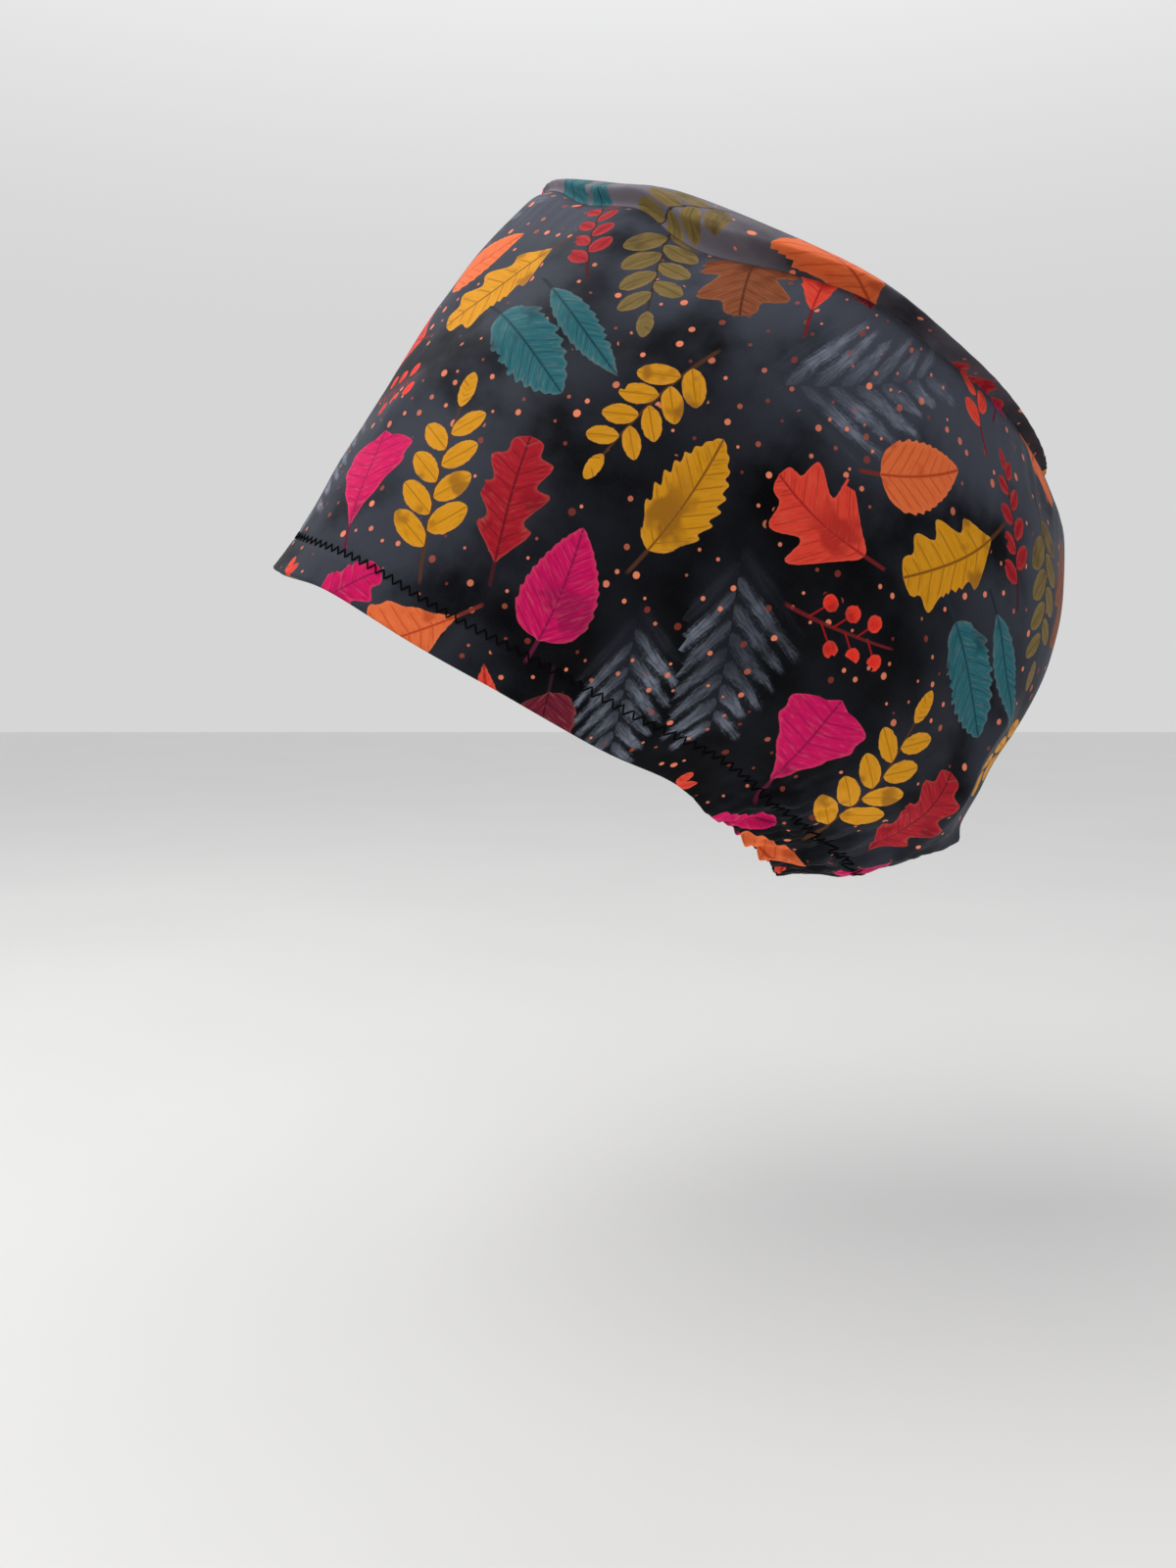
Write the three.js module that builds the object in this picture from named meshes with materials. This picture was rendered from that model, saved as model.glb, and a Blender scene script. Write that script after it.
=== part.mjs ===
// A scrub cap in the form that it has on a head: an oval crown panel, a side band sewn round it
// with its fullness at the back for long hair, a turned-up hem over the brow and ears, and a
// gathered elastic casing at the nape.
// The part's frame has the head upright: -Y is the face, +X the wearer's left, +Z up. The origin
// is the centre of the head opening.
// Lengths are in millimetres and angles in degrees.

import * as THREE from "three";

// The head opening, which slopes from the brow down to the nape.
const WEAR_TILT = 29.5;
const OPENING_LENGTH = 210;
const OPENING_WIDTH = 148;
const EAR_ARCH = 7; // how far the edge rises over the ears

// The side band, from the opening's edge to the crown seam.
const SIDE_HEIGHT = 156;
const SEAM_LIFT = 3; // how much higher the crown seam stands at the back
const FULL_FRONT = 100; // the fullest outline's reach from the opening's centre
const FULL_BACK = 153;
const FULL_WIDTH = 170;

// The crown panel.
const CROWN_LENGTH = 203;
const CROWN_WIDTH = 136;
const CROWN_SETBACK = 15; // its centre lies this far behind the opening's
const CROWN_RISE = 22;
const CROWN_ROLL = 1.6; // how far the panel's edge rolls out over the seam
const ROLL_START = 0.03; // the roll's place, as shares of the way in from the seam
const ROLL_END = 0.4;
const WAVE_FADE = 8; // the higher, the sooner the seam's waves die away towards the centre

// Powers of the dome's section: the lower edge powers are, the steeper it rises from the seam.
const DOME_ROUNDNESS = 2.3;
const DOME_EDGE_ENDS = 0.74;
const DOME_EDGE_SIDES = 0.56;

// Cloth, hem and elastic.
const CLOTH = 1.5;
const PIECE_GAP = 0.3;
const HEM_DEPTH = 13.5;
const ELASTIC_SPAN = 124; // the part of the edge that the elastic draws in, centred on the nape
const GATHER_COUNT = 20;
const GATHER_DEPTH = 2.2;
const GATHER_UNEVENNESS = 0.3; // how much shallower the shallowest gathers are, as a share
const GATHERS_TO_SHALLOW = 2.6; // from a deep gather to the next shallow one
const GATHER_REACH = 52; // how far up the band the gathers run
const GATHER_ONSET = ELASTIC_SPAN / 8; // the turn in which they deepen from the elastic's ends

// How far the cloth swells from a straight line between edge and seam (0) to the fullest
// outline (1), at shares of the side height.
const SWELL = [
  { rise: 0.0, brow: 0.0, temple: 0.0, nape: 0.0 },
  { rise: 0.045, brow: 0.15, temple: 0.1, nape: 0.28 },
  { rise: 0.13, brow: 0.4, temple: 0.34, nape: 0.69 },
  { rise: 0.23, brow: 0.62, temple: 0.62, nape: 0.97 },
  { rise: 0.35, brow: 0.6, temple: 0.88, nape: 0.95 },
  { rise: 0.5, brow: 0.52, temple: 1.0, nape: 0.97 },
  { rise: 0.68, brow: 0.38, temple: 0.92, nape: 0.93 },
  { rise: 0.85, brow: 0.2, temple: 0.58, nape: 0.64 },
  { rise: 1.0, brow: 0.0, temple: 0.0, nape: 0.0 },
];

// Soft ridges and dents of the band. Each runs from one place to another, with its width and
// height as shares of the side height; a height below zero is a dent.
const FOLDS = [
  { from: { turn: 33, rise: 0.42 }, to: { turn: 60, rise: 0.74 }, width: 0.06, height: 0.012 },
  { from: { turn: 160, rise: 0.24 }, to: { turn: 152, rise: 0.5 }, width: 0.06, height: 0.022 },
  { from: { turn: 150, rise: 0.05 }, to: { turn: 167, rise: 0.24 }, width: 0.045, height: 0.016 },
  { from: { turn: 162, rise: 0.36 }, to: { turn: 126, rise: 0.6 }, width: 0.08, height: -0.016 },
  { from: { turn: -30, rise: 0.45 }, to: { turn: -66, rise: 0.8 }, width: 0.07, height: 0.012 },
  { from: { turn: -154, rise: 0.22 }, to: { turn: -148, rise: 0.52 }, width: 0.08, height: 0.02 },
  { from: { turn: -146, rise: 0.05 }, to: { turn: -166, rise: 0.22 }, width: 0.05, height: 0.016 },
  { from: { turn: -164, rise: 0.38 }, to: { turn: -130, rise: 0.58 }, width: 0.08, height: -0.014 },
];

// Waves of the crown seam, where the cloth pulls it down or up, and of the opening's edge, the
// same on both sides. lift and spread are shares of the side height and of a half turn.
const SEAM_WAVES = [
  { turn: 8, lift: 0.01, spread: 0.1 },
  { turn: 38, lift: -0.024, spread: 0.055 },
  { turn: 53, lift: 0.008, spread: 0.03 },
  { turn: 67, lift: -0.037, spread: 0.07 },
  { turn: 98, lift: 0.025, spread: 0.07 },
  { turn: 121, lift: 0.018, spread: 0.11 },
  { turn: -42, lift: -0.018, spread: 0.06 },
  { turn: -74, lift: 0.016, spread: 0.06 },
  { turn: -104, lift: -0.02, spread: 0.07 },
];
const EDGE_WAVES = [
  { turn: 0, lift: 0.019, spread: 0.2 },
  { turn: 44, lift: 0.02, spread: 0.1 },
  { turn: 119, lift: 0.019, spread: 0.06 },
  { turn: 180, lift: -0.0205, spread: 0.18 },
];
const SEAM_CALM = 0.12; // folds die away in this share of the side height below the seam

const BROW_COLUMNS = 30;
const COLUMNS_PER_GATHER = 4;
const HEM_RISES = [0, 0.5, 1].map((share) => (share * HEM_DEPTH) / SIDE_HEIGHT);
const RISES_ABOVE_HEM = [0.05, 0.11, 0.18, 0.27, 0.39, 0.52, 0.66, 0.8, 0.91, 1].map(
  (share) => HEM_RISES[2] + (1 - HEM_RISES[2]) * share,
);
const BAND_RISES = [...HEM_RISES, ...RISES_ABOVE_HEM];
const CROWN_SHARES = [1, 0.985, 0.95, 0.88, 0.76, 0.6, 0.4, 0.2];

const radians = (degrees) => (degrees * Math.PI) / 180;
const blend = (a, b, share) => a + (b - a) * share;
const smooth = (share) => {
  const s = THREE.MathUtils.clamp(share, 0, 1);
  return s * s * (3 - 2 * s);
};

// The turn from one place to another, from 0 to 180 either way round.
const awayFrom = (place, turn) =>
  Math.abs(THREE.MathUtils.euclideanModulo(turn - place + 180, 360) - 180);

// A column of a table at any rise, on a smooth curve through its rows.
function read(table, column, rise) {
  const last = table.length - 2;
  let row = 0;
  while (row < last && rise > table[row + 1].rise) row += 1;
  const slope = (k) => {
    const low = table[Math.max(k - 1, 0)];
    const high = table[Math.min(k + 1, last + 1)];
    return (high[column] - low[column]) / (high.rise - low.rise);
  };
  const span = table[row + 1].rise - table[row].rise;
  const s = (rise - table[row].rise) / span;
  const rest = 1 - s;
  return (
    table[row][column] * rest * rest * (1 + 2 * s) +
    table[row + 1][column] * s * s * (3 - 2 * s) +
    span * s * rest * (slope(row) * rest - slope(row + 1) * s)
  );
}

// An oval in plan: its own reach to the front and the back of its centre, and its half width.
function oval(turn, centre, front, back, halfWidth) {
  const toFront = Math.cos(radians(turn));
  const reach = toFront > 0 ? front : back;
  return new THREE.Vector2(halfWidth * Math.sin(radians(turn)), centre - reach * toFront);
}

// How far a table's waves lift the seam or the edge at a turn.
function waveLift(waves, turn) {
  const lifts = waves.map((wave) => {
    const away = awayFrom(wave.turn, turn) / (180 * wave.spread);
    return wave.lift * Math.exp(-away * away);
  });
  return SIDE_HEIGHT * lifts.reduce((sum, lift) => sum + lift, 0);
}

// The smooth band without gathers or folds. turn is 0 at the brow, 90 over the wearer's left ear
// and 180 at the nape; rise is 0 at the edge and 1 at the crown seam.
function smoothBand(turn, rise) {
  const toFront = Math.cos(radians(turn));
  const beside = Math.sin(radians(turn)) ** 2;
  const swell =
    read(SWELL, toFront > 0 ? "brow" : "nape", rise) * (1 - beside) +
    read(SWELL, "temple", rise) * beside;
  const opening = oval(turn, 0, OPENING_LENGTH / 2, OPENING_LENGTH / 2, OPENING_WIDTH / 2);
  const crown = oval(turn, CROWN_SETBACK, CROWN_LENGTH / 2, CROWN_LENGTH / 2, CROWN_WIDTH / 2);
  const full = oval(turn, 0, FULL_FRONT, FULL_BACK, FULL_WIDTH / 2);
  const plan = opening.lerp(crown, rise).lerp(full, swell);
  const edge = EAR_ARCH * beside + waveLift(EDGE_WAVES, awayFrom(0, turn));
  const seam = SIDE_HEIGHT + (SEAM_LIFT * (1 - toFront)) / 2 + waveLift(SEAM_WAVES, turn);
  return new THREE.Vector3(plan.x, plan.y, blend(edge, seam, rise));
}

// The outward direction of the smooth band.
function bandNormal(turn, rise) {
  const step = 0.01;
  const low = Math.min(rise, 1 - step);
  const round = smoothBand(turn + 1, low).sub(smoothBand(turn - 1, low));
  const up = smoothBand(turn, low + step).sub(smoothBand(turn, low));
  return round.cross(up).normalize();
}

// How much the elastic gathers the cloth, from 0 clear of it to 1 at the nape's edge.
function gathering(turn, rise) {
  const fromNape = awayFrom(180, turn);
  const alongElastic = smooth((ELASTIC_SPAN / 2 - fromNape) / GATHER_ONSET);
  return alongElastic * (1 - smooth((rise * SIDE_HEIGHT) / GATHER_REACH));
}

// The height of the gathers and folds above the smooth band.
function relief(turn, rise) {
  const fromNape = awayFrom(180, turn);
  const phase = radians((fromNape / ELASTIC_SPAN) * 360 * GATHER_COUNT);
  const shallower = Math.sin(phase / GATHERS_TO_SHALLOW / 4) ** 2;
  const depth = GATHER_DEPTH * (1 - GATHER_UNEVENNESS * shallower);
  let height = depth * Math.cos(phase) * gathering(turn, rise);
  const perTurn = (radians(1) * (OPENING_LENGTH + OPENING_WIDTH)) / 4 / SIDE_HEIGHT;
  for (const fold of FOLDS) {
    const along = new THREE.Vector2(
      (fold.to.turn - fold.from.turn) * perTurn,
      fold.to.rise - fold.from.rise,
    );
    const beyond = THREE.MathUtils.euclideanModulo(turn - fold.from.turn + 180, 360) - 180;
    const here = new THREE.Vector2(beyond * perTurn, rise - fold.from.rise);
    const share = THREE.MathUtils.clamp(here.dot(along) / along.lengthSq(), 0, 1);
    const away = here.distanceTo(along.multiplyScalar(share)) / fold.width;
    height += fold.height * SIDE_HEIGHT * Math.exp(-away * away);
  }
  return height * smooth((1 - rise) / SEAM_CALM);
}

// A point of the band, so many millimetres below its outer face.
function bandPoint(turn, rise, below) {
  const out = relief(turn, rise) - below;
  return smoothBand(turn, rise).addScaledVector(bandNormal(turn, rise), out);
}

// A point of the crown panel. share is 1 at the seam and 0 at the panel's centre. The panel rolls
// out over the seam before it turns inwards, and the seam's waves fade towards its centre.
function crownPoint(turn, share, below) {
  const seam = smoothBand(turn, 1);
  const centre = new THREE.Vector2(0, CROWN_SETBACK);
  const plan = new THREE.Vector2(seam.x, seam.y).sub(centre);
  const level = seam.z - waveLift(SEAM_WAVES, turn) * (1 - share ** WAVE_FADE);
  const base = blend(SIDE_HEIGHT + SEAM_LIFT / 2, level, share);
  const beside = Math.sin(radians(turn)) ** 2;
  const edgePower = blend(DOME_EDGE_ENDS, DOME_EDGE_SIDES, beside);
  const dome = CROWN_RISE * (1 - share ** DOME_ROUNDNESS) ** edgePower;
  const inwards = 1 - share;
  const roll = CROWN_ROLL * smooth(inwards / ROLL_START) * smooth(1 - inwards / ROLL_END);
  // Below the outer face, the wall is level at the seam and turns to the dome's own slope.
  const across = plan.length() * share + roll - below * share;
  const under = below * (1 - share ** 4);
  plan.setLength(Math.max(across, 0)).add(centre);
  return new THREE.Vector3(plan.x, plan.y, base + dome - under + PIECE_GAP);
}

// A closed solid between an outer and an inner grid of points. faces[row][column] holds the pair;
// a ring joins its last column to its first, and a pole closes the last row at one point.
function solidBetween(faces, { ring, pole }) {
  const rows = faces.length;
  const columns = faces[0].length;
  const points = [];
  const triangles = [];
  const at = (row, column, inner) => 2 * (row * columns + (column % columns)) + inner;
  for (const row of faces) {
    for (const [outer, inner] of row) points.push(outer, inner);
  }
  const quad = (a, b, c, d) => triangles.push(a, b, c, a, c, d);
  const spans = ring ? columns : columns - 1;
  for (let column = 0; column < spans; column += 1) {
    for (let row = 0; row + 1 < rows; row += 1) {
      const corners = [0, 1].map((inner) => [
        at(row, column, inner),
        at(row, column + 1, inner),
        at(row + 1, column + 1, inner),
        at(row + 1, column, inner),
      ]);
      quad(...corners[0]);
      quad(corners[1][0], corners[1][3], corners[1][2], corners[1][1]);
    }
    quad(at(0, column, 0), at(0, column, 1), at(0, column + 1, 1), at(0, column + 1, 0));
    const top = rows - 1;
    if (!pole) {
      quad(at(top, column, 0), at(top, column + 1, 0), at(top, column + 1, 1), at(top, column, 1));
    }
  }
  if (!ring) {
    const end = columns - 1;
    for (let row = 0; row + 1 < rows; row += 1) {
      quad(at(row, 0, 0), at(row + 1, 0, 0), at(row + 1, 0, 1), at(row, 0, 1));
      quad(at(row, end, 0), at(row, end, 1), at(row + 1, end, 1), at(row + 1, end, 0));
    }
  }
  if (pole) {
    points.push(...pole);
    const [poleOuter, poleInner] = [points.length - 2, points.length - 1];
    for (let column = 0; column < columns; column += 1) {
      triangles.push(at(rows - 1, column, 0), at(rows - 1, column + 1, 0), poleOuter);
      triangles.push(at(rows - 1, column + 1, 1), at(rows - 1, column, 1), poleInner);
    }
  }
  const geometry = new THREE.BufferGeometry().setFromPoints(points);
  geometry.setIndex(triangles);
  geometry.computeVertexNormals();
  return geometry;
}

// Turns from the end of the elastic by the wearer's right ear, over the brow, to its other end.
function browTurns() {
  const end = 180 - ELASTIC_SPAN / 2;
  return Array.from({ length: BROW_COLUMNS + 1 }, (_, k) => blend(-end, end, k / BROW_COLUMNS));
}

// Turns along the elastic, from the wearer's left round the nape to their right.
function napeTurns() {
  const end = 180 - ELASTIC_SPAN / 2;
  const spans = GATHER_COUNT * COLUMNS_PER_GATHER;
  return Array.from({ length: spans + 1 }, (_, k) => end + (ELASTIC_SPAN * k) / spans);
}

function bandTurns() {
  return [...browTurns().slice(0, -1), ...napeTurns().slice(0, -1)];
}

function clothMaterial(colour) {
  return new THREE.MeshStandardMaterial({ color: colour, roughness: 0.72, metalness: 0 });
}

function piece(name, geometry, colour) {
  const mesh = new THREE.Mesh(geometry, clothMaterial(colour));
  mesh.name = name;
  return mesh;
}

function sideBand() {
  const faces = BAND_RISES.map((rise) =>
    bandTurns().map((turn) => [bandPoint(turn, rise, 0), bandPoint(turn, rise, CLOTH)]),
  );
  return piece("side_band", solidBetween(faces, { ring: true }), 0x1b1d24);
}

function crownPanel() {
  const turns = bandTurns().filter(
    (_, k) => k < BROW_COLUMNS || (k - BROW_COLUMNS) % COLUMNS_PER_GATHER === 0,
  );
  const faces = CROWN_SHARES.map((share) =>
    turns.map((turn) => [crownPoint(turn, share, 0), crownPoint(turn, share, CLOTH)]),
  );
  const pole = [crownPoint(0, 0, 0), crownPoint(0, 0, CLOTH)];
  return piece("crown_panel", solidBetween(faces, { ring: true, pole }), 0x2a2d36);
}

// A strip turned up inside the edge, clear of the next strip at both ends.
function turnedStrip(name, turns, colour) {
  const outside = CLOTH + PIECE_GAP;
  const clearance = (PIECE_GAP / OPENING_LENGTH) * 180;
  const last = turns.length - 1;
  const ends = { 0: turns[0] + clearance, [last]: turns[last] - clearance };
  const faces = HEM_RISES.map((rise) =>
    turns.map((turn, k) => [
      bandPoint(ends[k] ?? turn, rise, outside),
      bandPoint(ends[k] ?? turn, rise, outside + CLOTH),
    ]),
  );
  return piece(name, solidBetween(faces, { ring: false }), colour);
}

const cap = new THREE.Group();
cap.rotation.x = -radians(WEAR_TILT);
cap.add(
  sideBand(),
  crownPanel(),
  turnedStrip("front_hem", browTurns(), 0x23252d),
  turnedStrip("nape_casing", napeTurns(), 0x15161b),
);

const scrubCap = new THREE.Group();
scrubCap.add(cap);

export default scrubCap;
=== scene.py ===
"""The looks of the scrub cap: its printed band and crown, turned hem and gathered casing, with the
folds, seams and stitches of soft cloth. Lengths are in metres and angles in degrees."""

import math

import bpy
import numpy as np
from mathutils import Matrix


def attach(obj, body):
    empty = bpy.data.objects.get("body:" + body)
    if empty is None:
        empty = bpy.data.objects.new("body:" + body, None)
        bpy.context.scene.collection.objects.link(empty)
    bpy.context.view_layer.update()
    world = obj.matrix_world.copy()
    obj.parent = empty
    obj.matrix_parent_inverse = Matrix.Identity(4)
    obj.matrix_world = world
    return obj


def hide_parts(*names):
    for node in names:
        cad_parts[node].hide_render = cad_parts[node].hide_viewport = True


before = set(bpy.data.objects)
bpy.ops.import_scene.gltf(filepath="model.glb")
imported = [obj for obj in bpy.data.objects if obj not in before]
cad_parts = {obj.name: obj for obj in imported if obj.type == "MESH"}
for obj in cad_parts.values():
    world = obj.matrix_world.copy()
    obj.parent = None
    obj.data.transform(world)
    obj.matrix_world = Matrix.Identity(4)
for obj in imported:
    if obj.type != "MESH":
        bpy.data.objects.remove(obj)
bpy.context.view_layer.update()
MM = 0.001

# The cap's own sizes, the same as those of its solids.
WEAR_TILT = 29.5
OPENING_LENGTH = 210 * MM
OPENING_WIDTH = 148 * MM
EAR_ARCH = 7 * MM
SIDE_HEIGHT = 156 * MM
SEAM_LIFT = 3 * MM
FULL_FRONT = 100 * MM
FULL_BACK = 153 * MM
FULL_WIDTH = 170 * MM
CROWN_LENGTH = 203 * MM
CROWN_WIDTH = 136 * MM
CROWN_SETBACK = 15 * MM
CROWN_RISE = 22 * MM
CLOTH = 1.5 * MM
PIECE_GAP = 0.3 * MM
HEM_DEPTH = 13.5 * MM
ELASTIC_SPAN = 124

# The crown's section: the powers of its dome, and the roll of its edge out over the seam.
DOME_ROUNDNESS = 2.3
DOME_EDGE_ENDS = 0.74
DOME_EDGE_SIDES = 0.56
CROWN_ROLL_ENDS = 1.8 * MM
CROWN_ROLL_SIDES = 5.6 * MM
ROLL_START = 0.034
ROLL_END = 0.4
TUCK_REACH = 0.014
SEAM_LAP = 0.45 * MM
CROWN_PUFF = 1.2 * MM
CROWN_BACK_DROP = 3.2 * MM
BACK_DROP_START = 0.12
CROWN_UNEVENNESS = MM
PUFF_START = 0.3
CROWN_CENTRE = 0.5
UNDER_FADE = 4
WAVE_FADE = 8

# How far the band swells from a straight line between edge and seam (0) to the fullest outline
# (1), at shares of the side height.
SWELL_RISE = [0.0, 0.045, 0.13, 0.23, 0.35, 0.5, 0.68, 0.85, 1.0]
SWELL = {
    "brow": [0.0, 0.15, 0.4, 0.62, 0.6, 0.52, 0.38, 0.2, 0.0],
    "temple": [0.0, 0.1, 0.34, 0.62, 0.88, 1.0, 0.92, 0.58, 0.0],
    "nape": [0.0, 0.28, 0.69, 0.97, 0.95, 0.97, 0.93, 0.64, 0.0],
}

# Waves of the crown seam and of the opening's edge: turn, lift and spread, as shares of the side
# height and of a half turn. The edge's are the same on both sides.
SEAM_WAVES = [
    (8, 0.01, 0.1),
    (38, -0.024, 0.055),
    (53, 0.008, 0.03),
    (67, -0.037, 0.07),
    (98, 0.025, 0.07),
    (121, 0.018, 0.11),
    (-42, -0.018, 0.06),
    (-74, 0.016, 0.06),
    (-104, -0.02, 0.07),
]
EDGE_WAVES = [(0, 0.019, 0.2), (44, 0.02, 0.1), (119, 0.019, 0.06), (180, -0.0205, 0.18)]

# Soft ridges and dents, and creases with a hollow beside them: a path of turns and rises, then
# width and height as shares of the side height.
SOFT_FOLDS = [
    ([(0, 0.3), (0, 0.9)], 0.3, 0.011),
    ([(154, 0.33), (180, 0.345), (206, 0.33)], 0.07, 0.016),
    ([(150, 0.94), (210, 0.94)], 0.05, 0.015),
    ([(33, 0.42), (60, 0.74)], 0.06, 0.012),
    ([(160, 0.24), (152, 0.5)], 0.06, 0.022),
    ([(162, 0.36), (126, 0.6)], 0.08, -0.016),
    ([(-30, 0.45), (-66, 0.8)], 0.07, 0.012),
    ([(-154, 0.22), (-148, 0.52)], 0.08, 0.02),
    ([(-146, 0.05), (-166, 0.22)], 0.05, 0.016),
    ([(-164, 0.38), (-130, 0.58)], 0.08, -0.014),
]
CREASES = [
    ([(150, 0.03), (152, 0.05), (158, 0.08), (159, 0.15), (168, 0.25)], 0.04, 0.024),
    ([(168, 0.25), (180, 0.26)], 0.05, 0.012),
    ([(157, 0.2), (153, 0.48)], 0.035, 0.012),
    ([(-150, 0.04), (-160, 0.15), (-170, 0.25)], 0.04, 0.014),
]
CREASE_ROUNDING = 0.1
CREASE_FALL = 1.3
HOLLOW_DEPTH = 0.5
HOLLOW_REACH = 2.4
SEAM_CALM = 0.12
BROAD_UNEVENNESS = 0.9 * MM
SOFT_UNEVENNESS = 0.28 * MM

# Pleats that the elastic draws up from the casing.
PLEATS = 25
PLEAT_SEED = 21
PLEAT_JITTER = 0.28
PLEAT_REACH_BIAS = 1.8
PLEAT_EDGE_STRENGTH = 0.6
PLEAT_HALF_WIDTH = (2.1, 3.5)
PLEAT_HEIGHT = (1.4 * MM, 3.6 * MM)
PLEAT_REACH = (9 * MM, 40 * MM)
PLEAT_LEAN = 6.0
PLEAT_BEND = 2.4
CRUMPLE = 2.6 * MM
FINE_CRUMPLE = 1.1 * MM
CRUMPLE_REACH = 44 * MM
GATHER_LEVEL = 2.5 * MM
VALLEY_SHARPNESS = 4
PLEAT_ONSET = ELASTIC_SPAN / 10
SCALLOP = 1.3 * MM
SCALLOP_ROW = 0.7

# Seams and stitches.
SEAM_GROOVE = 2.1 * MM
SEAM_GROOVE_REACH = 2.6 * MM
PUCKERS = 84
PUCKER_HEIGHT = 0.35 * MM
PUCKER_REACH = 9 * MM
PUCKER_DRIFT = 2.5
BAND_PUCKER_ROW = 0.5
CROWN_PUCKER_ROW = 0.2
STITCH_DIMPLE = 0.45 * MM
STITCH_DIMPLE_REACH = 1.9 * MM
BACK_SEAM_GROOVE = 0.8 * MM
BACK_SEAM_REACH = 0.45
ZIGZAG_PERIOD = 3.6 * MM
ZIGZAG_WIDTH = 2.8 * MM
THREAD = 0.3 * MM
THREAD_SIDES = 5
# How far each stretch of thread dips into the cloth, in its own radii: from a corner on.
THREAD_DIPS = [0.35, -0.4, -0.4, 0.0]

# Rows and columns of the meshes. A leg is the rise where it ends and how many rows it has.
BROW_COLUMNS = 250
NAPE_COLUMNS = 270
CROWN_COLUMNS = 260
STRIP_ROWS = 13
EDGE_ROWS = 4
BAND_LEGS = ((1.3 * HEM_DEPTH / SIDE_HEIGHT, 18), (0.36, 38), (0.93, 46), (1.0, 16))
INNER_LEGS = ((0.93, 4), (0.34, 11), (0.0, 34))
CROWN_POLE = 0.03
CROWN_ROWS = 30
LIP_WIDTH = 0.18
LIP_ROWS = 34
LIP_CROWDING = 1.7
INNER_LIP_SHARES = [1, 0.992, 0.982, 0.968, 0.945, 0.915]
INNER_CROWN_START = 0.87
INNER_CROWN_ROWS = 14
SEAM_LINE_POINTS = 4001
FLAT_RISE = 0.45
CASING_PRINT_START = 0.4

# Where faces lie in the bake's picture: windows as left, low, right and high, and the crown's two
# faces as half widths and a centre.
BAND_WINDOW_SIDES = (0.005, 0.995)
BAND_WINDOW_LOWS = (0.01, 0.51)
OUTER_WINDOW = (0.0, 0.35)
INNER_WINDOW = (0.37, 0.48)
CROWN_OUTER_OVAL = ((0.2976, 0.4512), (0.32, 0.5))
CROWN_INNER_OVAL = ((0.1632, 0.432), (0.82, 0.5))
CROWN_RIM_SHARE = 1.02
STRIP_WINDOW = (0.01, 0.06, 0.99, 0.9)
STRIP_END_RADIUS = 0.03
STRIP_END_PLACES = ((0.1, 0.95), (0.6, 0.95))
THREAD_WINDOW = (0.01, 0.01, 0.99, 0.99)


def smooth(share):
    held = np.clip(share, 0.0, 1.0)
    return held * held * (3 - 2 * held)


def blend(low, high, share):
    return low + (high - low) * share


def away_from(place, turn):
    """The turn from one place to another, from 0 to 180 either way round."""
    return np.abs((turn - place + 180) % 360 - 180)


def read(column, rise):
    """A column of the swell table at any rise, on a smooth curve through its rows."""
    rises = np.array(SWELL_RISE)
    values = np.array(SWELL[column])
    last = len(rises) - 2
    row = np.clip(np.searchsorted(rises, rise, side="left") - 1, 0, last)
    slopes = np.empty_like(values)
    for k in range(len(values)):
        low, high = max(k - 1, 0), min(k + 1, last + 1)
        slopes[k] = (values[high] - values[low]) / (rises[high] - rises[low])
    span = rises[row + 1] - rises[row]
    share = (rise - rises[row]) / span
    rest = 1 - share
    return (
        values[row] * rest * rest * (1 + 2 * share)
        + values[row + 1] * share * share * (3 - 2 * share)
        + span * share * rest * (slopes[row] * rest - slopes[row + 1] * share)
    )


def oval(turn, centre, front, back, half_width):
    """An oval in plan, with its own reach to the front and the back of its centre."""
    to_front = np.cos(np.radians(turn))
    reach = np.where(to_front > 0, front, back)
    return half_width * np.sin(np.radians(turn)), centre - reach * to_front


def wave_lift(waves, turn):
    total = np.zeros_like(turn)
    for place, lift, spread in waves:
        total += lift * np.exp(-((away_from(place, turn) / (180 * spread)) ** 2))
    return SIDE_HEIGHT * total


def smooth_band(turn, rise):
    """The smooth band in the cap's frame: across, front to back, and up from the opening."""
    to_front = np.cos(np.radians(turn))
    beside = np.sin(np.radians(turn)) ** 2
    ends = np.where(to_front > 0, read("brow", rise), read("nape", rise))
    swell = ends * (1 - beside) + read("temple", rise) * beside
    opening = oval(turn, 0, OPENING_LENGTH / 2, OPENING_LENGTH / 2, OPENING_WIDTH / 2)
    crown = oval(turn, CROWN_SETBACK, CROWN_LENGTH / 2, CROWN_LENGTH / 2, CROWN_WIDTH / 2)
    full = oval(turn, 0, FULL_FRONT, FULL_BACK, FULL_WIDTH / 2)
    plan = [blend(blend(o, c, rise), f, swell) for o, c, f in zip(opening, crown, full)]
    edge = EAR_ARCH * beside + wave_lift(EDGE_WAVES, away_from(0, turn))
    seam = SIDE_HEIGHT + SEAM_LIFT * (1 - to_front) / 2 + wave_lift(SEAM_WAVES, turn)
    return np.stack([plan[0], plan[1], blend(edge, seam, rise)], axis=-1)


def unit(vectors):
    return vectors / np.linalg.norm(vectors, axis=-1, keepdims=True)


def band_normal(turn, rise):
    step = 0.01
    low = np.minimum(rise, 1 - step)
    around = smooth_band(turn + 1, low) - smooth_band(turn - 1, low)
    up = smooth_band(turn, low + step) - smooth_band(turn, low)
    return unit(np.cross(around, up))


def noise_grid(seed, columns, rows):
    return np.random.default_rng(seed).uniform(-1, 1, (rows, columns))


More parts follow.
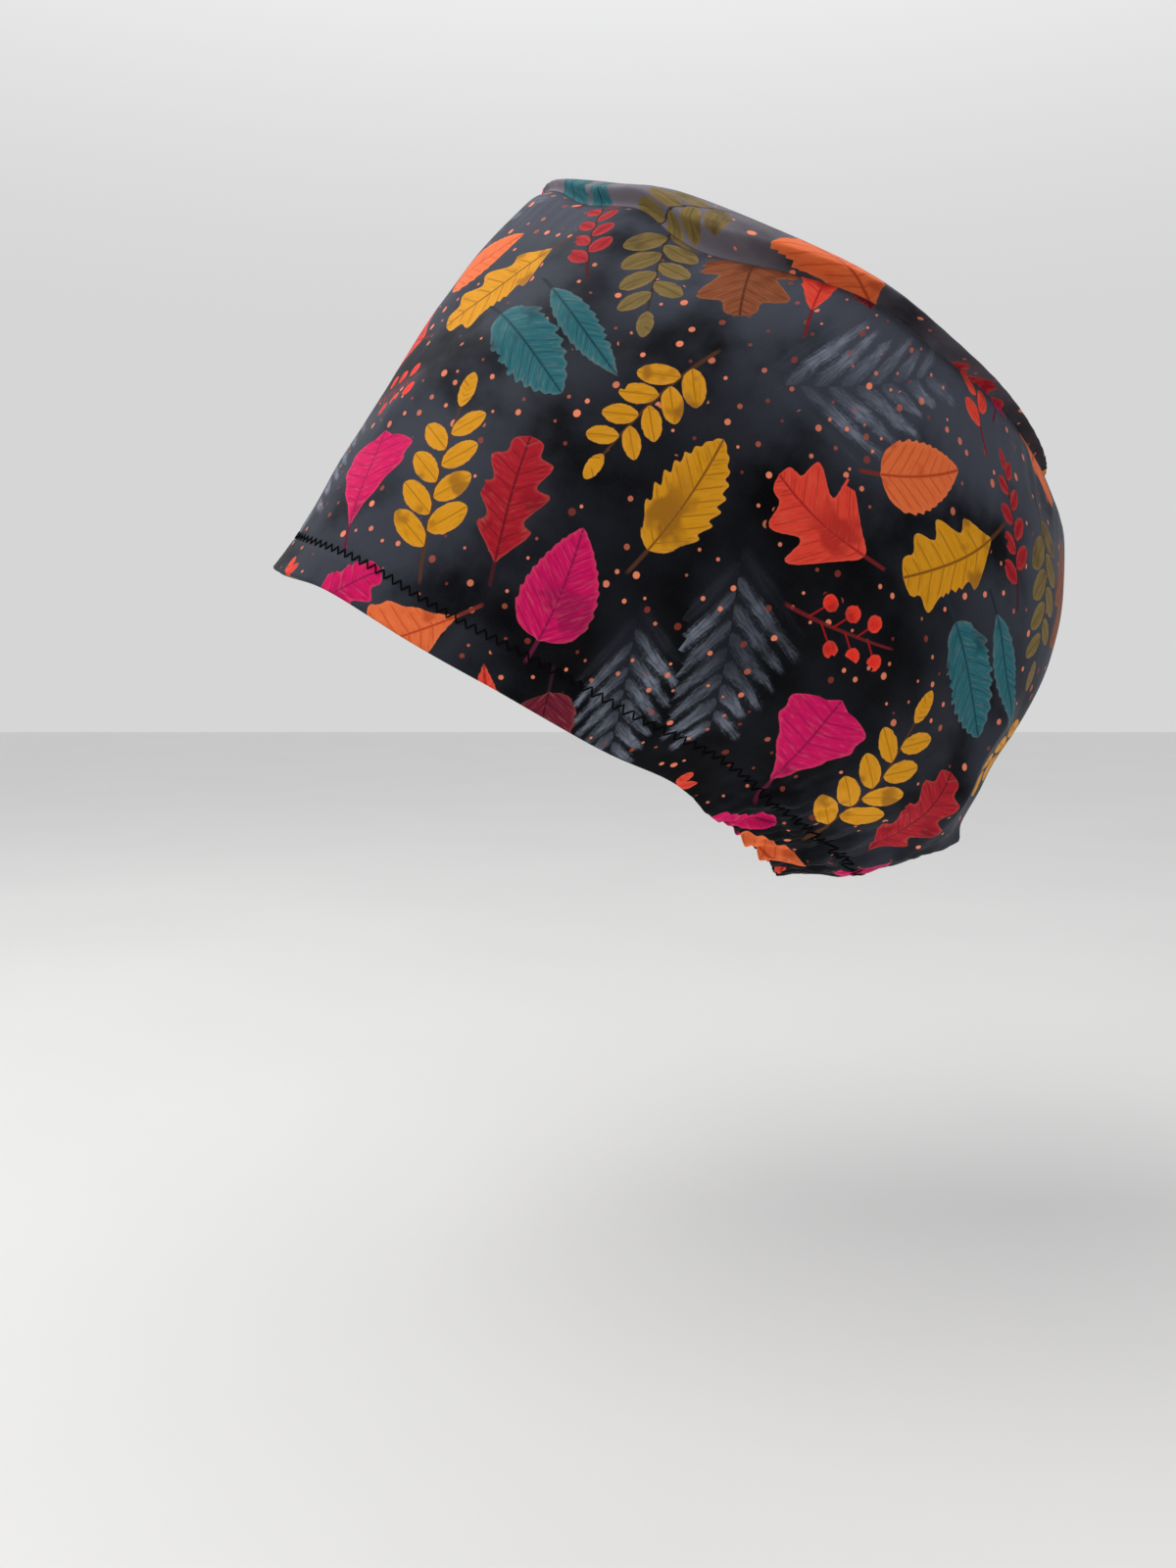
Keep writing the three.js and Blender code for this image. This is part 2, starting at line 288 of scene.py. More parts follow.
def noise(grid, across, up):
    """Smooth noise between -1 and 1; across is in whole turns and wraps, up is from 0 to 1."""
    rows, columns = grid.shape
    column = across * columns
    row = np.clip(up, 0, 1) * (rows - 1)
    left = np.floor(column).astype(int)
    below = np.clip(np.floor(row).astype(int), 0, rows - 2)
    along = smooth(column - left)
    above = smooth(row - below)
    first, second = left % columns, (left + 1) % columns
    low = blend(grid[below, first], grid[below, second], along)
    high = blend(grid[below + 1, first], grid[below + 1, second], along)
    return blend(low, high, above)


BROAD_NOISE = noise_grid(11, 18, 5)
SOFT_NOISE = noise_grid(12, 44, 12)
CRUMPLE_NOISE = noise_grid(13, 150, 15)
FINE_CRUMPLE_NOISE = noise_grid(14, 250, 24)
BEND_NOISE = noise_grid(15, 46, 10)
CRUMPLE_TOP = 0.5


def fold_distance(path, turn, rise):
    """How far places on the band lie from a path, as shares of the side height."""
    per_turn = math.radians(1) * (OPENING_LENGTH + OPENING_WIDTH) / 4 / SIDE_HEIGHT
    nearest = np.full_like(turn, np.inf)
    for (turn_a, rise_a), (turn_b, rise_b) in zip(path, path[1:]):
        along = np.array([(turn_b - turn_a) * per_turn, rise_b - rise_a])
        across = ((turn - turn_a + 180) % 360 - 180) * per_turn
        up = rise - rise_a
        share = np.clip((across * along[0] + up * along[1]) / (along @ along), 0, 1)
        nearest = np.minimum(nearest, np.hypot(across - along[0] * share, up - along[1] * share))
    return nearest


def fold_height(turn, rise):
    """The height of the soft folds and the creases."""
    total = np.zeros_like(turn)
    for path, width, height in SOFT_FOLDS:
        total += height * np.exp(-((fold_distance(path, turn, rise) / width) ** 2))
    for path, width, height in CREASES:
        away = fold_distance(path, turn, rise) / width
        softened = np.sqrt(away**2 + CREASE_ROUNDING**2) - CREASE_ROUNDING
        hollow = HOLLOW_DEPTH * np.exp(-((away / HOLLOW_REACH) ** 2))
        total += height * (np.exp(-CREASE_FALL * softened) - hollow)
    return SIDE_HEIGHT * total


def pleat_table():
    """Each pleat's place from the nape, half width, height, reach and lean."""
    draw = np.random.default_rng(PLEAT_SEED)
    spacing = ELASTIC_SPAN / PLEATS
    rows = []
    for k in range(PLEATS):
        place = k + 0.5 + draw.uniform(-PLEAT_JITTER, PLEAT_JITTER)
        rows.append(
            (
                -ELASTIC_SPAN / 2 + spacing * place,
                draw.uniform(*PLEAT_HALF_WIDTH),
                draw.uniform(*PLEAT_HEIGHT),
                blend(*PLEAT_REACH, draw.uniform() ** PLEAT_REACH_BIAS),
                draw.uniform(-PLEAT_LEAN, PLEAT_LEAN),
            )
        )
    return rows


PLEAT_ROWS = pleat_table()


def elastic_share(turn):
    """How much the elastic draws the cloth in: 0 clear of it and 1 well inside its span."""
    return smooth((ELASTIC_SPAN / 2 - away_from(180, turn)) / PLEAT_ONSET)


def pleat_height(turn, rise):
    """The gathers: pleats with sharp valleys between them, bent and crumpled."""
    up = rise * SIDE_HEIGHT
    lower_rise = rise / CRUMPLE_TOP
    from_nape = turn % 360 - 180 + PLEAT_BEND * noise(BEND_NOISE, turn / 360, lower_rise)
    climbed = (up - HEM_DEPTH) / PLEAT_REACH[1]
    total = np.zeros_like(turn)
    for place, half_width, height, reach, lean in PLEAT_ROWS:
        centre = place + lean * climbed
        away = (from_nape - centre) / (half_width * (1 + np.clip(climbed, 0, 1)))
        dome = np.clip(1 - away**2, 0, 1)
        above = 1 - smooth(np.clip((up - HEM_DEPTH) / reach, 0, 1))
        strength = blend(PLEAT_EDGE_STRENGTH, 1, up / HEM_DEPTH)
        strength = np.where(up < HEM_DEPTH, strength, above)
        total += (height * strength * dome) ** VALLEY_SHARPNESS
    total = total ** (1 / VALLEY_SHARPNESS)
    fade = 1 - smooth(up / CRUMPLE_REACH)
    total += CRUMPLE * fade * np.abs(noise(CRUMPLE_NOISE, turn / 360, lower_rise))
    total += FINE_CRUMPLE * fade * np.abs(noise(FINE_CRUMPLE_NOISE, turn / 360, lower_rise))
    return elastic_share(turn) * (total - GATHER_LEVEL * fade)


def seam_puckers(turn, row):
    """Small waves along the crown seam, drifting with one row of the soft noise."""
    drift = PUCKER_DRIFT * noise(SOFT_NOISE, turn / 360, row)
    return PUCKER_HEIGHT * np.cos(np.radians(turn) * PUCKERS + drift)


def band_relief(turn, rise):
    """The height of folds, pleats, seams and soft unevenness above the smooth band."""
    up = rise * SIDE_HEIGHT
    below_seam = (1 - rise) * SIDE_HEIGHT
    calm = smooth((1 - rise) / SEAM_CALM)
    height = (fold_height(turn, rise) + pleat_height(turn, rise)) * calm
    height += noise(BROAD_NOISE, turn / 360, rise) * BROAD_UNEVENNESS * calm
    height += noise(SOFT_NOISE, turn / 360, rise) * SOFT_UNEVENNESS * calm
    near_seam = np.exp(-below_seam / PUCKER_REACH) * smooth(below_seam / PUCKER_REACH)
    height += seam_puckers(turn, BAND_PUCKER_ROW) * near_seam
    height -= STITCH_DIMPLE * np.exp(-(((up - HEM_DEPTH) / STITCH_DIMPLE_REACH) ** 2))
    height -= BACK_SEAM_GROOVE * np.exp(-((away_from(180, turn) / BACK_SEAM_REACH) ** 2)) * calm
    return height


def worn(points):
    """Points of the cap's frame, tilted as the cap is worn."""
    tilt = math.radians(WEAR_TILT)
    ahead, up = points[..., 1], points[..., 2]
    return np.stack(
        [
            points[..., 0],
            ahead * math.cos(tilt) + up * math.sin(tilt),
            up * math.cos(tilt) - ahead * math.sin(tilt),
        ],
        axis=-1,
    )


def band_points(turn, rise, below):
    """Points of the band, so far below its outer face, tilted as worn."""
    turn, rise = np.broadcast_arrays(np.asarray(turn, float), np.asarray(rise, float))
    out = band_relief(turn, rise) - below
    points = smooth_band(turn, rise) + band_normal(turn, rise) * out[..., None]
    below_seam = (1 - rise) * SIDE_HEIGHT
    groove = SEAM_GROOVE * np.exp(-((below_seam / SEAM_GROOVE_REACH) ** 2))
    plan = points[..., :2] - np.array([0, CROWN_SETBACK])
    points[..., :2] -= unit(plan) * groove[..., None]
    near_edge = 1 - smooth(rise * SIDE_HEIGHT / HEM_DEPTH)
    ripple = noise(CRUMPLE_NOISE, turn / 360, SCALLOP_ROW)
    points[..., 2] += SCALLOP * ripple * near_edge * elastic_share(turn)
    return worn(points)


def crown_points(turn, share, below):
    """Points of the crown. share is 1 at the seam and 0 at the panel's centre."""
    turn, share = np.broadcast_arrays(np.asarray(turn, float), np.asarray(share, float))
    seam = smooth_band(turn, np.ones_like(turn))
    plan = seam[..., :2] - np.array([0, CROWN_SETBACK])
    reach = np.linalg.norm(plan, axis=-1)
    level = seam[..., 2] - wave_lift(SEAM_WAVES, turn) * (1 - share**WAVE_FADE)
    base = blend(SIDE_HEIGHT + SEAM_LIFT / 2, level, share)
    beside = np.sin(np.radians(turn)) ** 2
    edge_power = blend(DOME_EDGE_ENDS, DOME_EDGE_SIDES, beside)
    dome = CROWN_RISE * (1 - share**DOME_ROUNDNESS) ** edge_power
    inwards = 1 - share
    roll = blend(CROWN_ROLL_ENDS, CROWN_ROLL_SIDES, beside)
    roll = roll * smooth(inwards / ROLL_START) * smooth(1 - inwards / ROLL_END)
    behind = smooth(-np.cos(np.radians(turn)))
    centred = smooth(share / CROWN_CENTRE)
    uneven = noise(BROAD_NOISE, turn / 360, share) * CROWN_UNEVENNESS * centred + CROWN_PUFF
    uneven = uneven * smooth(inwards / PUFF_START)
    uneven -= CROWN_BACK_DROP * behind * centred * smooth(inwards / BACK_DROP_START)
    pucker = seam_puckers(turn, CROWN_PUCKER_ROW) / 2 * np.exp(-inwards * reach / PUCKER_REACH)
    pucker = pucker * smooth(inwards / ROLL_START)
    at_seam = np.exp(-((inwards / TUCK_REACH) ** 2))
    tuck = (SEAM_GROOVE - SEAM_LAP) * at_seam
    across = reach * share + roll + pucker - tuck - below * share
    under = below * (1 - share**UNDER_FADE)
    outwards = unit(plan) * np.maximum(across, 0)[..., None]
    return worn(
        np.concatenate(
            [
                outwards + np.array([0, CROWN_SETBACK]),
                (base + dome + uneven - under - SEAM_LAP * at_seam)[..., None],
            ],
            axis=-1,
        )
    )


def lengths_along(points, axis):
    """Distances run along one axis of a grid of points, from 0."""
    steps = np.linalg.norm(np.diff(points, axis=axis), axis=-1)
    start = np.zeros_like(np.take(steps, [0], axis=axis))
    return np.cumsum(np.concatenate([start, steps], axis=axis), axis=axis)


def run_through(start, legs):
    """Values from a start through legs in even steps. A leg is its end and how many it has."""
    parts = []
    for number, (end, count) in enumerate(legs, 1):
        parts.append(np.linspace(start, end, count, endpoint=number == len(legs)))
        start = end
    return np.concatenate(parts)


def brow_turns():
    end = 180 - ELASTIC_SPAN / 2
    return np.linspace(-end, end, BROW_COLUMNS + 1)


def nape_turns():
    end = 180 - ELASTIC_SPAN / 2
    return np.linspace(end, end + ELASTIC_SPAN, NAPE_COLUMNS + 1)


def band_turns():
    """Turns all round, starting and ending at the nape, where the band is sewn shut."""
    nape = nape_turns()
    middle = NAPE_COLUMNS // 2
    return np.concatenate([nape[middle:-1] - 360, brow_turns()[:-1], nape[: middle + 1]])


# The print: one repeat of leaves, sprigs and berries on a dark ground. Its lengths are in
# millimetres of cloth, and widths and leaflets are shares of a motif's own length.
REPEAT = 180.0
# Whole leaves: half width, the powers of the outline's base and tip, the lobes' depth, how many
# there are and how far they sweep forward.
BLADES = {
    "oak": (0.25, 0.75, 0.5, 0.24, 3.8, 0.55),
    "aspen": (0.33, 0.42, 0.85, 0.03, 9.0, 0.9),
    "beech": (0.25, 0.6, 0.75, 0.09, 8.0, 0.9),
    "willow": (0.13, 0.8, 1.0, 0.05, 12.0, 1.2),
    "ginkgo": (0.46, 1.5, 0.3, 0.05, 4.5, 0.3),
    "hawthorn": (0.33, 0.6, 0.6, 0.34, 2.6, 0.7),
}
# Sprigs: the leaflets' length, spacing, half width and sweep, and the kind of sprig.
WHOLE_LEAF = 0
LEAFY = 1
BERRIED = 2
SPRIGS = {
    "locust": (0.3, 0.2, 0.27, 0.7, LEAFY),
    "bilberry": (0.25, 0.23, 0.3, 0.8, LEAFY),
    "rowan": (0.24, 0.25, 0.075, 0.9, BERRIED),
}
# Each ink and its deeper shade.
INKS = {
    "magenta": ((0.54, 0.006, 0.095), (0.2, 0.004, 0.05)),
    "coral": ((0.66, 0.05, 0.03), (0.3, 0.012, 0.012)),
    "orange": ((0.68, 0.135, 0.04), (0.36, 0.035, 0.012)),
    "mustard": ((0.58, 0.25, 0.008), (0.15, 0.05, 0.008)),
    "crimson": ((0.33, 0.01, 0.02), (0.1, 0.004, 0.01)),
    "burgundy": ((0.14, 0.011, 0.026), (0.035, 0.004, 0.01)),
    "teal": ((0.02, 0.115, 0.14), (0.006, 0.035, 0.05)),
    "brown": ((0.21, 0.06, 0.024), (0.06, 0.016, 0.01)),
    "olive": ((0.16, 0.112, 0.036), (0.05, 0.034, 0.014)),
    "red": ((0.7, 0.025, 0.015), (0.3, 0.008, 0.01)),
}
# The motifs of one repeat: form, length and ink.
MOTIFS = [
    ("oak", 40, "mustard"),
    ("oak", 38, "crimson"),
    ("aspen", 35, "magenta"),
    ("aspen", 31, "orange"),
    ("beech", 38, "mustard"),
    ("beech", 39, "teal"),
    ("willow", 48, "coral"),
    ("willow", 40, "teal"),
    ("ginkgo", 30, "orange"),
    ("ginkgo", 33, "magenta"),
    ("hawthorn", 38, "brown"),
    ("hawthorn", 35, "coral"),
    ("aspen", 37, "burgundy"),
    ("oak", 33, "magenta"),
    ("locust", 50, "mustard"),
    ("locust", 43, "olive"),
    ("bilberry", 36, "coral"),
    ("locust", 40, "mustard"),
    ("rowan", 34, "red"),
    ("bilberry", 33, "crimson"),
]
MOTIF_CLEARANCE = 3.0
FRONDS = [70, 60, 66]
FROND_HALF_WIDTH = 0.24
FROND_SWEEP = 1.15
FROND_SPACING = 0.13
LAYOUT_STEPS = 900
LAYOUT_SEED = 32
SPINE_SPOTS = (-0.38, 0.0, 0.38)
PUSH = 0.12
TURNING = 0.25
MOTIF_SEED = 32
MOTIF_CURL = 0.22
STROKE_SEEDS = 9
INK_ATTRIBUTES = ("Ink", "DeepInk")
LEAFLETS_START = (0.06, 0.09)
LEAFLETS_END = 0.82
LEAFLET_ROUNDNESS = 0.62
TIP_LEAFLET_START = 0.87
TIP_LEAFLET_SIZE = 0.72
LEAFLET_REACH = 1.15
FAR_OUTSIDE = 15.0
SIDE_RIBS = 8.0
DOT_SPACING = 6.4
RIB_PERIOD = 0.55
LOOP_PERIOD = 0.42
# Where the ground pales, in millimetres round the band from the nape and away from the front:
# over the brow with smoke and painted sheen, and at the nape with the print's own smoke.
FRONT_OF_CLOTH = 333.0
BACK_OF_CLOTH = (230.0, 285.0)
BROW_OF_CLOTH = (70.0, 150.0)

# The two printed grounds: the colour of their smoke, which also carries painted sheen; where along
# the cloth painted light from above begins to pale it and where it is full, higher up the band and
# towards the crown's front; and how much of it lies over the brow, as smoke and painted sheen, and
# at the nape, as the print's own smoke.
BAND_GROUND_AND_LIGHT = {
    "smoke_and_sheen_colour": (0.053, 0.058, 0.078, 1),
    "painted_shade_from": 74.0,
    "painted_light_from": 150.0,
    "front_smoke_and_sheen": 0.7,
    "back_smoke": 0.5,
}
# On the crown the pale smoke is mostly painted sheen, paler towards its front as if lit from above.
CROWN_GROUND_AND_LIGHT = {
    "smoke_and_sheen_colour": (0.155, 0.138, 0.165, 1),
    "painted_shade_from": 150.0,
    "painted_light_from": -85.0,
    "front_smoke_and_sheen": 0.0,
    "back_smoke": 0.0,
}
BLACK_GROUND = (0.0012, 0.0012, 0.0017, 1)
HAZE = (0.03, 0.034, 0.048, 1)
FROND_GREY = (0.17, 0.19, 0.24, 1)
STEM_DARK = (0.02, 0.015, 0.02, 1)
WARM_LIGHT = (0.8, 0.45, 0.25, 1)
DOT_COLOURS = ((0.33, 0.05, 0.03, 1), (0.78, 0.22, 0.12, 1))
WORN_GREY = (0.3, 0.3, 0.32, 1)
REVERSE_GREYS = ((0.15, 0.15, 0.16, 1), (0.25, 0.25, 0.26, 1))
SHOW_THROUGH = 0.22
# The thread's two blacks: the darker is painted shade in the twist's grooves, the lighter is on its
# ridges.
THREAD_GROOVE_SHADE_BLACKS = ((0.0008, 0.0008, 0.001, 1), (0.003, 0.003, 0.0035, 1))
THREAD_TWIST = 0.6 * MM
FLOOR_GREYS = ((0.56, 0.56, 0.555, 1), (0.6, 0.6, 0.595, 1))


def motif_half_width(name):
    if name in BLADES:
        return BLADES[name][0]
    leaflet, _, half_width, sweep, kind = SPRIGS[name]
    berry = half_width if kind == BERRIED else 0
    return LEAFLET_REACH * leaflet / math.hypot(1, sweep) + berry


def spread_out(lengths, half_widths, clearance, seed):
    """Places and directions in one repeat, pushed apart and turned until they lie evenly."""
    draw = np.random.default_rng(seed)
    count = len(lengths)
    places = draw.uniform(0, REPEAT, (count, 2))
    turns = draw.uniform(0, 2 * math.pi, count)
    shares = np.array(SPINE_SPOTS)
    owner = np.repeat(np.arange(count), len(shares))
    radii = np.repeat(half_widths, len(shares))
    wanted = radii[:, None] + radii[None] + clearance
    wanted[owner[:, None] == owner[None]] = 0
    for _ in range(LAYOUT_STEPS):
        ahead = np.stack([np.cos(turns), np.sin(turns)], axis=-1)
        arms = (ahead[:, None] * (lengths[:, None] * shares)[..., None]).reshape(-1, 2)
        spots = places[owner] + arms
        gaps = spots[:, None] - spots[None]
        gaps -= REPEAT * np.round(gaps / REPEAT)
        apart = np.linalg.norm(gaps, axis=-1)
        push = np.clip(wanted - apart, 0, None) / np.maximum(apart, 0.01)
        moves = (gaps * push[..., None]).sum(axis=1)
        turning = arms[:, 0] * moves[:, 1] - arms[:, 1] * moves[:, 0]
        for k in range(count):
            places[k] += PUSH * moves[owner == k].mean(axis=0)
            turns[k] += TURNING * turning[owner == k].sum() / lengths[k] ** 2
    return places, turns


def print_layout():
    """Lengths, half widths, places and directions of the motifs and then of the fronds."""
    lengths = [float(length) for _, length, _ in MOTIFS] + [float(length) for length in FRONDS]
    shares = [motif_half_width(name) for name, _, _ in MOTIFS] + [FROND_HALF_WIDTH] * len(FRONDS)
    lengths = np.array(lengths)
    half_widths = np.array(shares) * lengths
    places, turns = spread_out(lengths, half_widths, MOTIF_CLEARANCE, LAYOUT_SEED)
    return {"lengths": lengths, "half_widths": half_widths, "places": places, "turns": turns}


def motif_rows(layout):
    """Every motif of the repeat, with its place, direction, form and inks."""
    draw = np.random.default_rng(MOTIF_SEED)
    forms, edges, kinds = [], [], []
    for name, _, _ in MOTIFS:
        curl = draw.uniform(-MOTIF_CURL, MOTIF_CURL)
        if name in BLADES:
            half_width, base, tip, *edge = BLADES[name]
            peak = base**base * tip**tip / (base + tip) ** (base + tip)
            form = (half_width / peak, base, tip)
            kind = WHOLE_LEAF
        else:
            *form, sweep, kind = SPRIGS[name]
            edge = (0, 1, sweep)
        forms.append(form)
        edges.append(edge)
        kinds.append((kind, curl, draw.uniform(0, STROKE_SEEDS)))
    inks = [(*INKS[ink][0], 1) for _, _, ink in MOTIFS]
    deep = [(*INKS[ink][1], 1) for _, _, ink in MOTIFS]
    rows = {key: values[: len(MOTIFS)] for key, values in layout.items()}
    return rows | {
        "Form": np.array(forms),
        "Edge": np.array(edges),
        "Kind": np.array(kinds),
        "Ink": np.array(inks),
        "DeepInk": np.array(deep),
    }


LAYOUT = print_layout()
LEAVES = motif_rows(LAYOUT)
GHOSTS = {key: values[len(MOTIFS) :] for key, values in LAYOUT.items()}


def nearest_motif(rows, corners):
    """For faces of the flat cloth: the motif nearest to each, and its corners' places in it,
    along from its base and across, in shares of its length."""
    middle = corners.mean(axis=1)
    ahead = np.stack([np.cos(rows["turns"]), np.sin(rows["turns"])], axis=-1)
    gaps = middle[:, None] - rows["places"][None]
    gaps -= REPEAT * np.round(gaps / REPEAT)
    along = (gaps * ahead).sum(axis=-1)
    along = np.clip(along, -rows["lengths"] / 2, rows["lengths"] / 2)
    away = np.linalg.norm(gaps - along[..., None] * ahead, axis=-1) - rows["half_widths"]
    chosen = away.argmin(axis=1)
    centre = middle - gaps[np.arange(len(middle)), chosen]
    out = (corners - centre[:, None]) / rows["lengths"][chosen][:, None, None]
    ahead = ahead[chosen][:, None]
    along = (out * ahead).sum(axis=-1) + 0.5
    across = out[..., 1] * ahead[..., 0] - out[..., 0] * ahead[..., 1]
    length = np.broadcast_to(rows["lengths"][chosen][:, None], along.shape)
    return chosen, np.stack([along, across, length], axis=-1)


def motif_values(flat):
    """What the print needs at the corners of faces, from their places on the cloth."""
    corners = flat / MM
    chosen, leaf = nearest_motif(LEAVES, corners)
    _, ghost = nearest_motif(GHOSTS, corners)
    values = {"Leaf": leaf, "Ghost": ghost}
    values["Cloth"] = np.concatenate([corners, np.zeros_like(corners[..., :1])], axis=-1)
    for key in ("Form", "Edge", "Kind", "Ink", "DeepInk"):
        row = LEAVES[key][chosen]
        values[key] = np.broadcast_to(row[:, None], (*corners.shape[:2], row.shape[-1]))
    return values


class Weaver:
    """Collects the faces of several grids into one closed mesh. Each face's corners have a place
    in the bake's picture and a place on the flat cloth, and the face has a material."""

    def __init__(self):
        self.points = []
        self.count = 0
        self.parts = []

    def add_points(self, points):
        numbers = self.count + np.arange(points[..., 0].size).reshape(points.shape[:-1])
        self.points.append(points.reshape(-1, 3))
        self.count += len(self.points[-1])
        return numbers

    def add_faces(self, corners, uv, flat, slot):
        """Faces with the same number of corners: arrays of faces by corners."""
        self.parts.append((corners, uv, flat, np.full(len(corners), slot)))

    def add_grid(self, numbers, uv, flat, slot):
        """Quads between neighbouring rows and columns of a grid of point numbers."""
        sides = [
            (slice(None, -1), slice(None, -1)),
            (slice(None, -1), slice(1, None)),
            (slice(1, None), slice(1, None)),
            (slice(1, None), slice(None, -1)),
        ]
        corners = np.stack([numbers[s] for s in sides], axis=-1).reshape(-1, 4)
        uv, flat = (
            np.stack([grid[s] for s in sides], axis=2).reshape(-1, 4, 2) for grid in (uv, flat)
        )
        self.add_faces(corners, uv, flat, slot)

    def build(self, name, materials):
        faces = [face for corners, *_ in self.parts for face in corners.tolist()]
        mesh = bpy.data.meshes.new(name)
        mesh.from_pydata(np.concatenate(self.points).tolist(), [], faces)
        for material in materials:
            mesh.materials.append(material)
        picture = mesh.uv_layers.new(name="OFBake")
        picture.data.foreach_set("uv", np.concatenate([p[1].reshape(-1) for p in self.parts]))
        mesh.polygons.foreach_set("material_index", np.concatenate([p[3] for p in self.parts]))
        mesh.polygons.foreach_set("use_smooth", np.ones(len(faces), bool))
        self.add_print(mesh)
        mesh.update()
        made = bpy.data.objects.new(name, mesh)
        bpy.context.scene.collection.objects.link(made)
        return made

    def add_print(self, mesh):
        """Writes where each corner lies on the cloth and in the motif nearest to its face."""
        corner_parts = {}
        for corners, _, flat, _ in self.parts:
            for key, values in motif_values(flat).items():
                corner_parts.setdefault(key, []).append(values.reshape(-1, values.shape[-1]))
        for key, parts in corner_parts.items():
            kind = "FLOAT_COLOR" if key in INK_ATTRIBUTES else "FLOAT_VECTOR"
            field = "color" if key in INK_ATTRIBUTES else "vector"
            layer = mesh.attributes.new(key, kind, "CORNER")
            layer.data.foreach_set(field, np.concatenate(parts).astype(np.float32).reshape(-1))


def bake_window(rows, columns, left, low, right, high):
    """Places in the bake's picture for a grid, spread over a window of it."""
    across = np.linspace(left, right, columns)
    up = np.linspace(low, high, rows)
    return np.stack(np.meshgrid(across, up), axis=-1)


class Wire:
    """A value in a node graph; arithmetic on it adds Math nodes."""

    def __init__(self, graph, socket):
        self.graph = graph
        self.socket = socket

    def __add__(self, other):
        return self.graph.math("ADD", self, other)

    def __sub__(self, other):
        return self.graph.math("SUBTRACT", self, other)

    def __rsub__(self, other):
        return self.graph.math("SUBTRACT", other, self)

    def __mul__(self, other):
        return self.graph.math("MULTIPLY", self, other)

    def __truediv__(self, other):
        return self.graph.math("DIVIDE", self, other)

    def __rtruediv__(self, other):
        return self.graph.math("DIVIDE", other, self)

    def __pow__(self, other):
        return self.graph.math("POWER", self, other)

    def __abs__(self):
        return self.graph.math("ABSOLUTE", self)

    __radd__ = __add__
    __rmul__ = __mul__


class Graph:
    """The node graph of a material or of the world, with short names for its nodes."""

    def __init__(self, owner, shader="Principled BSDF"):
        owner.use_nodes = True
        self.owner = owner
        self.tree = owner.node_tree
        self.shader = self.tree.nodes[shader]

    def node(self, kind, inputs, **settings):
        made = self.tree.nodes.new(kind)
        for key, value in settings.items():
            setattr(made, key, value)
        for key, value in inputs.items():
            self.plug(made.inputs[key], value)
        return made

    def plug(self, socket, value):
        if isinstance(value, Wire):
            self.tree.links.new(value.socket, socket)
        else:
            socket.default_value = value

    def math(self, operation, *values):
        made = self.node("ShaderNodeMath", dict(enumerate(values)), operation=operation)
        return Wire(self, made.outputs[0])

    def attribute(self, name, output="Vector"):
        made = self.node("ShaderNodeAttribute", {}, attribute_name=name)
        return Wire(self, made.outputs[output])

    def axes(self, vector):
        made = self.node("ShaderNodeSeparateXYZ", {0: vector})
        return [Wire(self, output) for output in made.outputs]

    def vector(self, *values):
        made = self.node("ShaderNodeCombineXYZ", dict(enumerate(values)))
        return Wire(self, made.outputs[0])

    def coordinates(self, output):
        return Wire(self, self.node("ShaderNodeTexCoord", {}).outputs[output])

    def ramp(self, value, low, high, start=0.0, end=1.0):
        """One value up to low, another from high, and smooth between."""
        inputs = {"Value": value, "From Min": low, "From Max": high, "To Min": start, "To Max": end}
        made = self.node("ShaderNodeMapRange", inputs, interpolation_type="SMOOTHSTEP")
        return Wire(self, made.outputs["Result"])

    def clamp(self, value, low, high):
        return self.math("MINIMUM", self.math("MAXIMUM", value, low), high)

    def mix(self, share, low, high):
        inputs = {0: share, 6: low, 7: high}
        made = self.node("ShaderNodeMix", inputs, data_type="RGBA")
        return Wire(self, made.outputs[2])

    def noise(self, vector, scale, detail=2.0):
        inputs = {"Vector": vector, "Scale": scale, "Detail": detail}
        made = self.node("ShaderNodeTexNoise", inputs)
        return Wire(self, made.outputs[0])

    def bump(self, height, strength, distance):
        inputs = {"Height": height, "Strength": strength, "Distance": distance}
        made = self.node("ShaderNodeBump", inputs)
        self.plug(self.shader.inputs["Normal"], Wire(self, made.outputs["Normal"]))

    def set(self, **values):
        for key, value in values.items():
            self.plug(self.shader.inputs[key.replace("_", " ")], value)


def leaflets(graph, swept, bent, off, spacing, sweep, last):
    """Leaflets in two rows along a stem, up to the last one's base. Gives the distance beside
    the nearest one's midrib, the place along it, its base, and whether it is there."""
    sine = 1 / graph.math("SQRT", graph.math("ADD", sweep * sweep, 1.0))
    shifted = swept + graph.math("GREATER_THAN", bent, 0.0) * 0.5 * spacing
    start = (graph.math("FLOOR", shifted / spacing) + 0.5) * spacing
    beside = (shifted - start) * sine
    along = off / sine + beside * sweep
    inside = graph.ramp(start, *LEAFLETS_START) * (1 - graph.ramp(start, last, last + 0.02))
    return abs(beside), along, start, inside


def round_leaflet(graph, along, beside, size, slimness):
    """How far inside a leaflet's outline a place lies, and less than 0 outside it."""
    share = graph.clamp(along / size, 0.0, 1.0)
    half_width = slimness * size * (4 * share * (1 - share)) ** LEAFLET_ROUNDNESS
    return half_width - beside - 2 * abs(along - share * size)


def ink_edge(graph, inside_by, soft=0.3):
    """How much ink there is, from the distance inside an outline in millimetres."""
    return graph.ramp(inside_by, -soft / 2, soft / 2)


